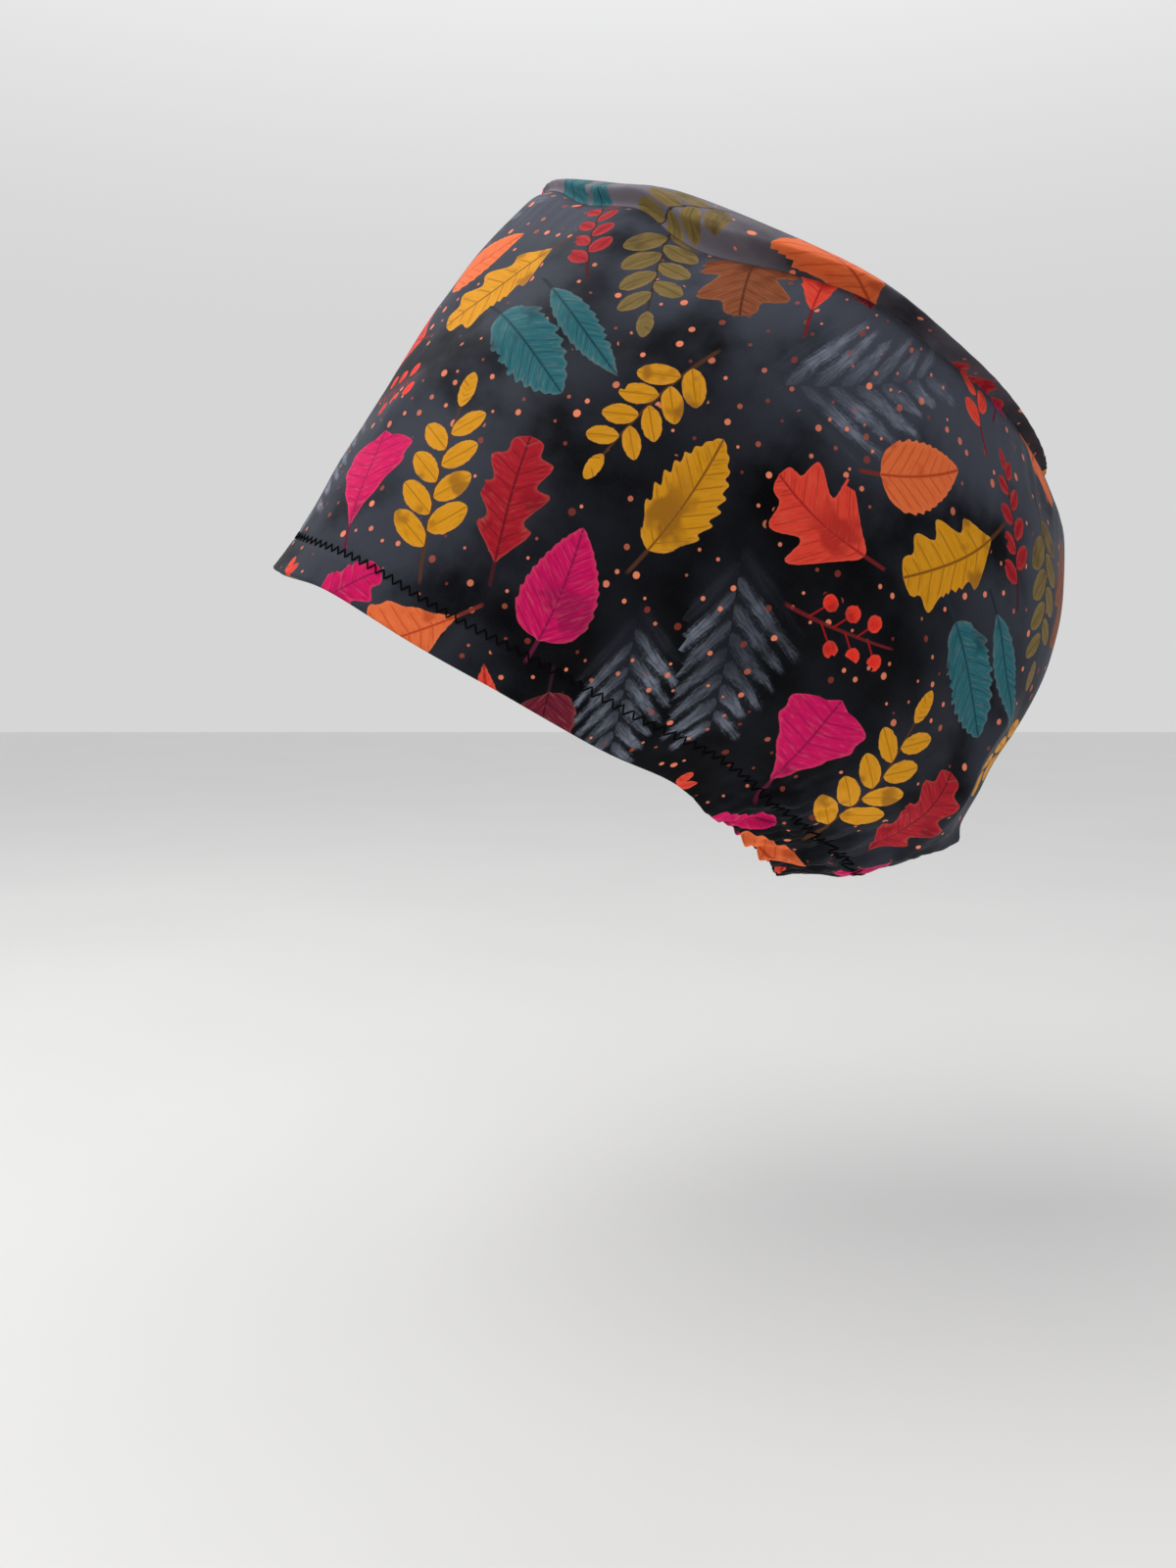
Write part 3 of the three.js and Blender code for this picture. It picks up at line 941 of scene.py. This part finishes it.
def leaf_print(graph, under, dotted):
    """The motifs over the colour under them, with dots between them if it is dotted."""
    h, v, length = graph.axes(graph.attribute("Leaf"))
    first, second, third = graph.axes(graph.attribute("Form"))
    lobe, lobes, sweep = graph.axes(graph.attribute("Edge"))
    kind, curl, seed = graph.axes(graph.attribute("Kind"))
    ink = graph.attribute("Ink", "Color")
    deep = graph.attribute("DeepInk", "Color")
    cloth = graph.attribute("Cloth")
    ragged = (graph.noise(cloth, 0.55, 3.0) - 0.5) * 0.9
    bent = v + curl * h * (1 - h)
    off = abs(bent)
    swept = h - sweep * off
    held = graph.clamp(h, 0.001, 0.999)

    profile = first * held**second * (1 - held) ** third
    lobed = 1 + lobe * graph.math("COSINE", (swept * lobes + 0.5) * (2 * math.pi))
    past_ends = abs(h - held)
    blade = (profile * lobed - off - 2 * past_ends) * length

    beside, along, start, inside = leaflets(
        graph, swept, bent, off, second, sweep, LEAFLETS_END
    )
    leaflet = first * (1.08 - 0.35 * start)
    absent = FAR_OUTSIDE * (1 - inside)
    sprig = round_leaflet(graph, along, beside, leaflet, third) * length - absent
    tip_size = first * TIP_LEAFLET_SIZE
    tip_leaflet = round_leaflet(graph, h - TIP_LEAFLET_START, off, tip_size, third) * length
    sprig = graph.math("MAXIMUM", sprig, tip_leaflet)
    beyond = along - leaflet
    berry = (third - graph.math("SQRT", beside * beside + beyond * beyond)) * length - absent

    is_sprig = graph.math("GREATER_THAN", kind, 0.5)
    is_berry = graph.math("GREATER_THAN", kind, 1.5)
    body = blade * (1 - is_sprig) + sprig * (is_sprig - is_berry) + berry * is_berry + ragged
    covered = ink_edge(graph, body)

    stem_ends = graph.ramp(h, -0.26, -0.2) * (1 - graph.ramp(h, 0.86, 0.93))
    stem_width = 0.62 - 0.3 * held
    stem = ink_edge(graph, stem_width - off * length) * stem_ends
    stalk = ink_edge(graph, 0.28 - beside * length) * inside * is_berry
    stalk = stalk * graph.math("LESS_THAN", along, leaflet)

    middle_rib = 1 - graph.ramp(off * length, 0.15, 0.6)
    ribs = abs(graph.math("FRACT", swept * SIDE_RIBS) - 0.5) * length * 0.1
    side_ribs = (1 - graph.ramp(ribs, 0.06, 0.42)) * graph.ramp(blade, 0.5, 2.5) * 0.6
    leaf_ribs = graph.math("MAXIMUM", middle_rib, side_ribs) * (1 - is_sprig)
    leaflet_ribs = (1 - graph.ramp(beside * length, 0.05, 0.4)) * (is_sprig - is_berry) * 0.6

    strokes = graph.vector(swept * length * 1.1, off * length * 0.22, seed)
    brushed = graph.noise(strokes, 1.0, 4.0)
    blotched = graph.noise(graph.vector(h * length, v * length, seed * 7.0), 0.09, 2.0)
    patch = graph.ramp(blotched, 0.5, 0.62) * (1 - graph.ramp(h, 0.35, 0.75)) * 0.75
    shade = graph.math("MAXIMUM", leaf_ribs + leaflet_ribs, patch)
    shade = graph.math("MAXIMUM", shade, graph.ramp(brushed, 0.5, 0.85) * 0.7)
    rim = (1 - graph.ramp(body, 0.2, 1.6)) * 0.18
    lit = graph.ramp(brushed, 0.5, 0.2) * 0.4 + rim
    inked = graph.mix(shade * 0.85, ink, deep)
    inked = graph.mix(lit * 0.24, inked, WARM_LIGHT)

    stem_ink = graph.mix(0.55, deep, STEM_DARK)
    colour = dot_print(graph, under, body) if dotted else under
    colour = graph.mix(stem * 0.9, colour, stem_ink)
    colour = graph.mix(stalk, colour, deep)
    return graph.mix(covered, colour, inked)


def ghost_print(graph, under):
    """Pale feathery fronds on the ground, in dry brush strokes."""
    h, v, length = graph.axes(graph.attribute("Ghost"))
    cloth = graph.attribute("Cloth")
    wander = graph.noise(cloth, 0.09, 2.0) - 0.5
    bent = v + 0.14 * h * (1 - h)
    off = abs(bent)
    swept = h + 0.05 * wander - FROND_SWEEP * off
    beside, along, start, inside = leaflets(
        graph, swept, bent, off, FROND_SPACING, FROND_SWEEP, 0.92
    )
    side = graph.math("SIGN", bent)
    uneven = graph.noise(graph.vector(start * 40.0, side * 5.0, length), 1.0, 0.0)
    leaflet = 0.56 * (1 - 0.68 * start) * (0.55 + 0.9 * uneven)
    share = graph.clamp(along / leaflet, 0.0, 1.0)
    blade = (0.058 * (1.1 - share) * share**0.35 - beside) * length
    stroke_place = graph.vector(beside * length * 1.4, along * length * 0.2, start * 9.0)
    streaks = graph.noise(stroke_place, 1.0, 5.0)
    fray = graph.noise(cloth, 0.9, 3.0) - 0.5
    soft = graph.ramp(blade + (streaks - 0.5) * 2.4 + fray * 2.0, -0.9, 1.2) * inside
    soft = soft * (1 - graph.ramp(share, 0.82, 1.0))
    cloudy = graph.ramp(graph.noise(cloth, 0.035, 2.0), 0.3, 0.65)
    strength = soft * (0.25 + 0.7 * cloudy) * (0.4 + 0.6 * graph.ramp(streaks, 0.3, 0.68))
    strength = strength * (0.45 + 0.55 * graph.ramp(share, 0.0, 0.45))
    haze = graph.ramp(off, 0.26, 0.02) * graph.ramp(h, -0.08, 0.25) * graph.ramp(h, 1.0, 0.7)
    under = graph.mix(haze * 0.35, under, HAZE)
    return graph.mix(strength, under, FROND_GREY)


def dot_print(graph, under, body):
    """Small dots scattered between the motifs."""
    cloth = graph.attribute("Cloth")
    inputs = {"Vector": cloth, "Scale": 1 / DOT_SPACING, "Randomness": 0.9}
    cells = graph.node("ShaderNodeTexVoronoi", inputs, voronoi_dimensions="2D")
    spread = Wire(graph, cells.outputs["Distance"]) * DOT_SPACING
    chance, size, tone = graph.axes(Wire(graph, cells.outputs["Color"]))
    crowd = graph.noise(cloth, 0.03, 1.0)
    there = graph.math("GREATER_THAN", chance + crowd * 0.8, 0.92)
    dot = ink_edge(graph, 0.45 + size * size * 0.75 - spread) * there
    dot = dot * (1 - graph.ramp(body, -1.6, -1.0))
    colour = graph.mix(graph.ramp(tone, 0.1, 0.6), *DOT_COLOURS)
    return graph.mix(dot * (0.45 + 0.55 * tone), under, colour)


def knit_height(graph):
    """The fine ribs of the knit and its brushed nap."""
    across, up, _ = graph.axes(graph.attribute("Cloth"))
    ribs = graph.math("COSINE", across * (2 * math.pi / RIB_PERIOD))
    loops = graph.math("COSINE", up * (2 * math.pi / LOOP_PERIOD) + ribs)
    nap = graph.noise(graph.attribute("Cloth"), 3.0, 3.0)
    return ribs * 0.25 + loops * 0.25 + nap


def printed_knit(name, smoke_and_sheen_colour, painted_shade_from, painted_light_from, front_smoke_and_sheen, back_smoke):
    """The printed face. Its ground turns paler along the cloth, from one place to another, as
    painted light from above; somewhat paler over the brow with smoke and painted sheen; and paler
    at the nape with the print's own smoke."""
    graph = Graph(bpy.data.materials.new(name))
    cloth = graph.attribute("Cloth")
    across, up, _ = graph.axes(cloth)
    # Painted light: paler higher up the band and towards the crown's front, as if lit from above.
    pale = graph.ramp(up, painted_shade_from, painted_light_from)
    from_front = abs(across - FRONT_OF_CLOTH)
    back = graph.ramp(from_front, *BACK_OF_CLOTH) * graph.ramp(up, 12.0, 40.0) * back_smoke
    # Over the brow the paling is partly the print's smoke and partly painted sheen.
    front = (1 - graph.ramp(from_front, *BROW_OF_CLOTH)) * front_smoke_and_sheen
    pale = graph.math("MAXIMUM", pale, graph.math("MAXIMUM", front, back))
    # The print's smoke, spread wider and brighter where the painted light pales the ground.
    smoke_and_light_mask = graph.ramp(graph.noise(cloth, 0.03, 4.0) + pale * 0.14, 0.35, 0.68)
    smoke_and_light_mask = smoke_and_light_mask * (0.12 + 0.88 * pale)
    colour = graph.mix(smoke_and_light_mask, BLACK_GROUND, smoke_and_sheen_colour)
    colour = ghost_print(graph, colour)
    colour = leaf_print(graph, colour, True)
    fade = graph.noise(cloth, 1.6, 2.0)
    colour = graph.mix(graph.ramp(fade, 0.35, 0.75) * 0.006, colour, WORN_GREY)
    graph.set(Base_Color=colour, Roughness=0.5, Sheen_Weight=0.04, Sheen_Roughness=0.3)
    graph.set(Specular_IOR_Level=0.03, Sheen_Tint=(0.82, 0.88, 1.0, 1))
    graph.bump(knit_height(graph), 0.3, 0.00006)
    return graph.owner


def knit_reverse():
    """The cloth's plain reverse, with the print showing through faintly."""
    graph = Graph(bpy.data.materials.new("knit_reverse"))
    cloth = graph.attribute("Cloth")
    mottled = graph.noise(cloth, 0.8, 4.0)
    colour = graph.mix(mottled, *REVERSE_GREYS)
    colour = graph.mix(SHOW_THROUGH, colour, leaf_print(graph, colour, False))
    graph.set(Base_Color=colour, Roughness=0.85, Sheen_Weight=0.2, Sheen_Roughness=0.5)
    graph.set(Specular_IOR_Level=0.25)
    graph.bump(knit_height(graph), 0.5, 0.0001)
    return graph.owner


def black_thread():
    """Black thread with a fine twist, its grooves painted darker as shade."""
    graph = Graph(bpy.data.materials.new("black_thread"))
    x, y, z = graph.axes(graph.coordinates("Object"))
    twist = graph.math("SINE", (x + y * 1.3 + z * 0.7) * (2 * math.pi / THREAD_TWIST))
    # Painted shade: darker in the twist's grooves and lighter on its ridges, following the twist's
    # bump.
    colour = graph.mix(twist * 0.5 + 0.5, *THREAD_GROOVE_SHADE_BLACKS)
    graph.set(Base_Color=colour, Roughness=0.7, Specular_IOR_Level=0.03)
    graph.bump(twist, 0.5, 0.00006)
    return graph.owner


def floor_paint():
    """A plain pale paint, faintly uneven."""
    graph = Graph(bpy.data.materials.new("floor_paint"))
    tone = graph.noise(graph.coordinates("Object"), 6.0, 4.0)
    colour = graph.mix(tone, *FLOOR_GREYS)
    graph.set(Base_Color=colour, Roughness=0.6)
    return graph.owner


def closed_round(numbers):
    """A grid of point numbers with its first column again at the end."""
    return np.concatenate([numbers, numbers[:, :1]], axis=1)


def rounded(last, first, away):
    """Rows of a half round from one edge to another, bulging along away."""
    away = unit(away)
    middle, half = (last + first) / 2, (last - first) / 2
    angles = np.linspace(0, math.pi, EDGE_ROWS + 2)[1:-1]
    return [middle + half * math.cos(a) + away * math.sin(a) * CLOTH / 2 for a in angles]


def side_band(printed, reverse):
    """The band: an outer face, a rounded lower edge and an inner face, closed at the seam."""
    turns = band_turns()
    rises = run_through(0, BAND_LEGS)
    inner_rises = run_through(1, INNER_LEGS)
    outer = band_points(turns[None, :], rises[:, None], 0)
    inner = band_points(turns[None, :], inner_rises[:, None], CLOTH)
    edge = rounded(inner[-1], outer[0], outer[0] - outer[1])
    along = lengths_along(smooth_band(turns, np.full_like(turns, FLAT_RISE)), 0)
    up = lengths_along(smooth_band(*np.broadcast_arrays(turns[None, :], rises[:, None])), 0)
    flat = np.stack([np.broadcast_to(along, up.shape), up], axis=-1)
    same_rise = np.interp(inner_rises, rises, np.arange(len(rises))).astype(int)
    flat_edge = np.stack([along, np.full_like(along, -CLOTH / 2)], axis=-1)
    flat_inner = [flat[-1:], flat[same_rise], [flat_edge] * EDGE_ROWS, flat[:1]]
    flat_inner = np.concatenate(flat_inner)
    weaver = Weaver()
    closed = len(turns) - 1
    outer_numbers = weaver.add_points(outer[:, :closed])
    rest = weaver.add_points(np.concatenate([inner, edge])[:, :closed])
    numbers = closed_round(np.concatenate([outer_numbers[-1:], rest, outer_numbers[:1]]))
    outer_numbers = closed_round(outer_numbers)
    middle = closed // 2
    split = len(numbers) - EDGE_ROWS - 2
    left, right = BAND_WINDOW_SIDES
    for first, last, low in zip((0, middle), (middle, closed), BAND_WINDOW_LOWS):
        columns = slice(first, last + 1)
        sizes = (len(rises), last - first + 1)
        window = bake_window(*sizes, left, low + OUTER_WINDOW[0], right, low + OUTER_WINDOW[1])
        weaver.add_grid(outer_numbers[:, columns], window, flat[:, columns], 0)
        sizes = (len(numbers), last - first + 1)
        window = bake_window(*sizes, left, low + INNER_WINDOW[0], right, low + INNER_WINDOW[1])
        for rows, slot in ((slice(split + 1), 1), (slice(split, None), 0)):
            weaver.add_grid(numbers[rows, columns], window[rows], flat_inner[rows, columns], slot)
    return weaver.build("band_cloth", [printed, reverse])


def crown_panel(printed, reverse):
    """The crown: an outer face from its centre to the seam, and an inner face back to it."""
    turns = np.linspace(-180, 180, CROWN_COLUMNS + 1)
    inside_lip = np.linspace(CROWN_POLE, 1 - LIP_WIDTH, CROWN_ROWS, endpoint=False)
    lip = 1 - LIP_WIDTH * np.linspace(1, 0, LIP_ROWS) ** LIP_CROWDING
    shares = np.concatenate([inside_lip, lip])
    inner_shares = np.linspace(INNER_CROWN_START, CROWN_POLE, INNER_CROWN_ROWS)
    inner_shares = np.concatenate([INNER_LIP_SHARES, inner_shares])
    outer = crown_points(turns[None, :], shares[:, None], 0)
    inner = crown_points(turns[None, :], inner_shares[:, None], CLOTH)
    plan = np.stack([np.sin(np.radians(turns)), -np.cos(np.radians(turns))], axis=-1)
    reach = lengths_along(outer, 0) + CROWN_POLE * CROWN_WIDTH / 2
    flat = plan * reach[..., None]
    flat_inner = plan * (inner_shares[:, None, None] * CROWN_LENGTH / 2)
    half_widths, centre = CROWN_OUTER_OVAL
    uv_outer = plan * (reach / reach.max())[..., None] * half_widths + centre
    half_widths, centre = CROWN_INNER_OVAL
    rim_and_shares = np.concatenate([[CROWN_RIM_SHARE], inner_shares])
    uv_inner = plan * rim_and_shares[:, None, None] * half_widths + centre
    weaver = Weaver()
    numbers = closed_round(weaver.add_points(np.concatenate([outer, inner])[:, :-1]))
    poles = weaver.add_points(np.stack([crown_points(0.0, 0.0, low) for low in (0, CLOTH)]))
    split = len(shares)
    back = slice(None, None, -1)
    weaver.add_grid(numbers[:split, back], uv_outer[:, back], flat[:, back], 0)
    seam_and_inner = np.concatenate([flat[-1:], flat_inner])
    weaver.add_grid(numbers[split - 1 :, back], uv_inner[:, back], seam_and_inner[:, back], 1)
    fans = ((0, uv_outer[0], flat[0], 1), (-1, uv_inner[-1], flat_inner[-1], -1))
    for slot, (row, around, rim, order) in enumerate(fans):
        pole = np.full(CROWN_COLUMNS, poles[slot])
        corners = np.stack([numbers[row, :-1], numbers[row, 1:], pole], axis=-1)
        centre = (around[0] + around[CROWN_COLUMNS // 2]) / 2
        centre = np.broadcast_to(centre, (CROWN_COLUMNS, 2))
        uv = np.stack([around[:-1], around[1:], centre], axis=1)
        place = np.stack([rim[:-1], rim[1:], np.zeros((CROWN_COLUMNS, 2))], axis=1)
        weaver.add_faces(corners[:, ::order], uv[:, ::order], place[:, ::order], slot)
    return weaver.build("crown_cloth", [printed, reverse])


def turned_strip(name, turns, printed, far):
    """A strip turned up inside the edge, with a rounded section."""
    outside = CLOTH + PIECE_GAP
    clearance = PIECE_GAP / OPENING_LENGTH * 180
    turns = turns.copy()
    turns[0] += clearance
    turns[-1] -= clearance
    top = HEM_DEPTH / SIDE_HEIGHT
    rises = np.linspace(0, top, STRIP_ROWS)
    outer = band_points(turns[None, :], rises[:, None], outside)
    inner = band_points(turns[None, :], rises[::-1, None], outside + CLOTH)
    ring = [*outer, *rounded(outer[-1], inner[0], outer[-1] - outer[-2]), *inner]
    ring += rounded(inner[-1], outer[0], inner[-1] - outer[1])
    grid = np.array(ring)
    along = lengths_along(smooth_band(turns, np.full_like(turns, FLAT_RISE)), 0)
    up = lengths_along(grid, 0)
    flat = np.stack([np.broadcast_to(along + far, up.shape), -up], axis=-1)
    weaver = Weaver()
    numbers = weaver.add_points(grid)
    closed = np.concatenate([numbers, numbers[:1]])
    flat = np.concatenate([flat, flat[-1:] - np.array([0, CLOTH / EDGE_ROWS])])
    window = bake_window(len(closed), len(turns), *STRIP_WINDOW)
    weaver.add_grid(closed, window, flat, 0)
    for column, order, (left, low) in zip((0, -1), (-1, 1), STRIP_END_PLACES):
        end = numbers[::order, column]
        angle = np.linspace(0, 2 * math.pi, len(end), endpoint=False)
        across = left + STRIP_END_RADIUS * np.cos(angle)
        up = low - STRIP_END_RADIUS * order * np.sin(angle)
        place = np.broadcast_to(flat[0, column], (1, len(end), 2))
        weaver.add_faces(end[None], np.stack([across, up], axis=-1)[None], place, 0)
    return weaver.build(name, [printed])


def zigzag_stitches(material):
    """A zigzag of thread all round, where the hem is sewn."""
    turns = np.linspace(-180, 180, SEAM_LINE_POINTS)
    hem = HEM_DEPTH / SIDE_HEIGHT
    line = band_points(turns, np.full_like(turns, hem), 0)
    run = lengths_along(line, 0)
    steps = 2 * int(round(run[-1] / ZIGZAG_PERIOD))
    places = np.interp(np.linspace(0, run[-1], steps + 1), run, turns)
    swing = ZIGZAG_WIDTH / 2 / SIDE_HEIGHT
    corner_rises = hem + swing * np.where(np.arange(steps + 1) % 2, 1, -1)
    share = np.linspace(0, 1, len(THREAD_DIPS), endpoint=False)
    turns = [blend(low, high, share) for low, high in zip(places, places[1:])]
    rises = [blend(low, high, share) for low, high in zip(corner_rises, corner_rises[1:])]
    turns, rises = np.concatenate(turns), np.concatenate(rises)
    dip = np.tile(THREAD_DIPS, steps) * THREAD
    path = band_points(turns, rises, dip)
    normal = unit(band_points(turns, rises, -MM) - path)
    ahead = unit(np.roll(path, -1, axis=0) - np.roll(path, 1, axis=0))
    side = unit(np.cross(ahead, normal))
    rings = []
    for k in range(THREAD_SIDES):
        angle = 2 * math.pi * k / THREAD_SIDES
        rings.append(path + THREAD * (side * math.cos(angle) + normal * math.sin(angle)))
    grid = np.stack(rings)
    weaver = Weaver()
    numbers = weaver.add_points(grid)
    numbers = closed_round(np.concatenate([numbers, numbers[:1]]))
    window = bake_window(*numbers.shape, *THREAD_WINDOW)
    weaver.add_grid(numbers, window, window, 0)
    return weaver.build("hem_stitches", [material])


# The photo's own viewpoint: beside the wearer's left, a little above the opening.
CAMERA_PLACE = (0.43, 0.0205, 0.017)
CAMERA_PITCH = 5.4
CAMERA_LENS = 27.18
CAMERA_NEAR = 0.02
FLOOR_LEVEL = -0.207
FLOOR_REACH = 4.0
FLOOR_CORNERS = [(-1, -1), (1, -1), (1, 1), (-1, 1)]
CAP_MIDDLE = (0, 0.05, 0.06)
# Each light's place and target, its width and height, power and colour.
LIGHTS = {
    "key": ((0.2, -0.6, 1.0), CAP_MIDDLE, 0.8, 0.8, 11.5, (1, 0.99, 0.97)),
    "bounce": ((0.16, 0.1, FLOOR_LEVEL + 0.004), (0.16, 0.1, 0), 0.5, 0.6, 0.6, (1, 1, 1)),
    "fill": ((1.1, 0.2, 0.55), CAP_MIDDLE, 0.6, 0.6, 1.7, (1, 1, 1)),
}


def set_up(data, place, axes):
    """Adds a camera or a light to the scene, with its own right, up and back axes."""
    made = bpy.data.objects.new(data.name, data)
    turned = Matrix(axes).transposed().to_4x4()
    made.matrix_world = Matrix.Translation(place) @ turned
    bpy.context.scene.collection.objects.link(made)
    return made


def camera():
    data = bpy.data.cameras.new("camera")
    data.lens = CAMERA_LENS
    data.clip_start = CAMERA_NEAR
    pitch = math.radians(CAMERA_PITCH)
    up = (-math.sin(pitch), 0, math.cos(pitch))
    back = (math.cos(pitch), 0, math.sin(pitch))
    bpy.context.scene.camera = set_up(data, CAMERA_PLACE, ((0, 1, 0), up, back))


def soft_light(name, place, target, width, height, power, colour):
    data = bpy.data.lights.new(name, "AREA")
    data.shape = "RECTANGLE"
    data.size = width
    data.size_y = height
    data.energy = power
    data.color = colour
    place, target = np.array(place), np.array(target)
    back = unit(place - target)
    side = unit(np.cross((0.0, 1.0, 0.001), back))
    set_up(data, place.tolist(), (side, np.cross(back, side), back))


def studio_world():
    """A pale world, brightest behind the cap and overhead."""
    graph = Graph(bpy.data.worlds.new("studio"), "Background")
    x, _, z = graph.axes(graph.coordinates("Generated"))
    strength = graph.ramp(x, 0.6, -0.5, 0.2, 0.68) + graph.ramp(z, 0.25, 1.0, 0.0, 0.8)
    graph.set(Color=(0.99, 0.99, 1.0, 1), Strength=strength)
    return graph.owner


def stage():
    """The floor, the world and the lights."""
    mesh = bpy.data.meshes.new("floor")
    corners = [(x * FLOOR_REACH, y * FLOOR_REACH, FLOOR_LEVEL) for x, y in FLOOR_CORNERS]
    mesh.from_pydata(corners, [], [(0, 1, 2, 3)])
    mesh.materials.append(floor_paint())
    floor = bpy.data.objects.new("floor", mesh)
    bpy.context.scene.collection.objects.link(floor)
    bpy.context.scene.world = studio_world()
    bpy.context.scene.view_settings.view_transform = "Standard"
    for name, light in LIGHTS.items():
        soft_light(name, *light)
    bpy.data.objects["bounce"].visible_camera = False


camera()
stage()
printed = printed_knit("printed_knit", **BAND_GROUND_AND_LIGHT)
crown_printed = printed_knit("crown_knit", **CROWN_GROUND_AND_LIGHT)
reverse = knit_reverse()
thread = black_thread()

band = side_band(printed, reverse)
crown = crown_panel(crown_printed, reverse)
hem = turned_strip("hem_cloth", brow_turns(), printed, 0.0)
casing = turned_strip("casing_cloth", nape_turns(), printed, CASING_PRINT_START)
stitches = zigzag_stitches(thread)

for piece, node in (
    (band, "side_band"),
    (crown, "crown_panel"),
    (hem, "front_hem"),
    (casing, "nape_casing"),
):
    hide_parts(node)
    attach(piece, "root")
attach(stitches, "root")
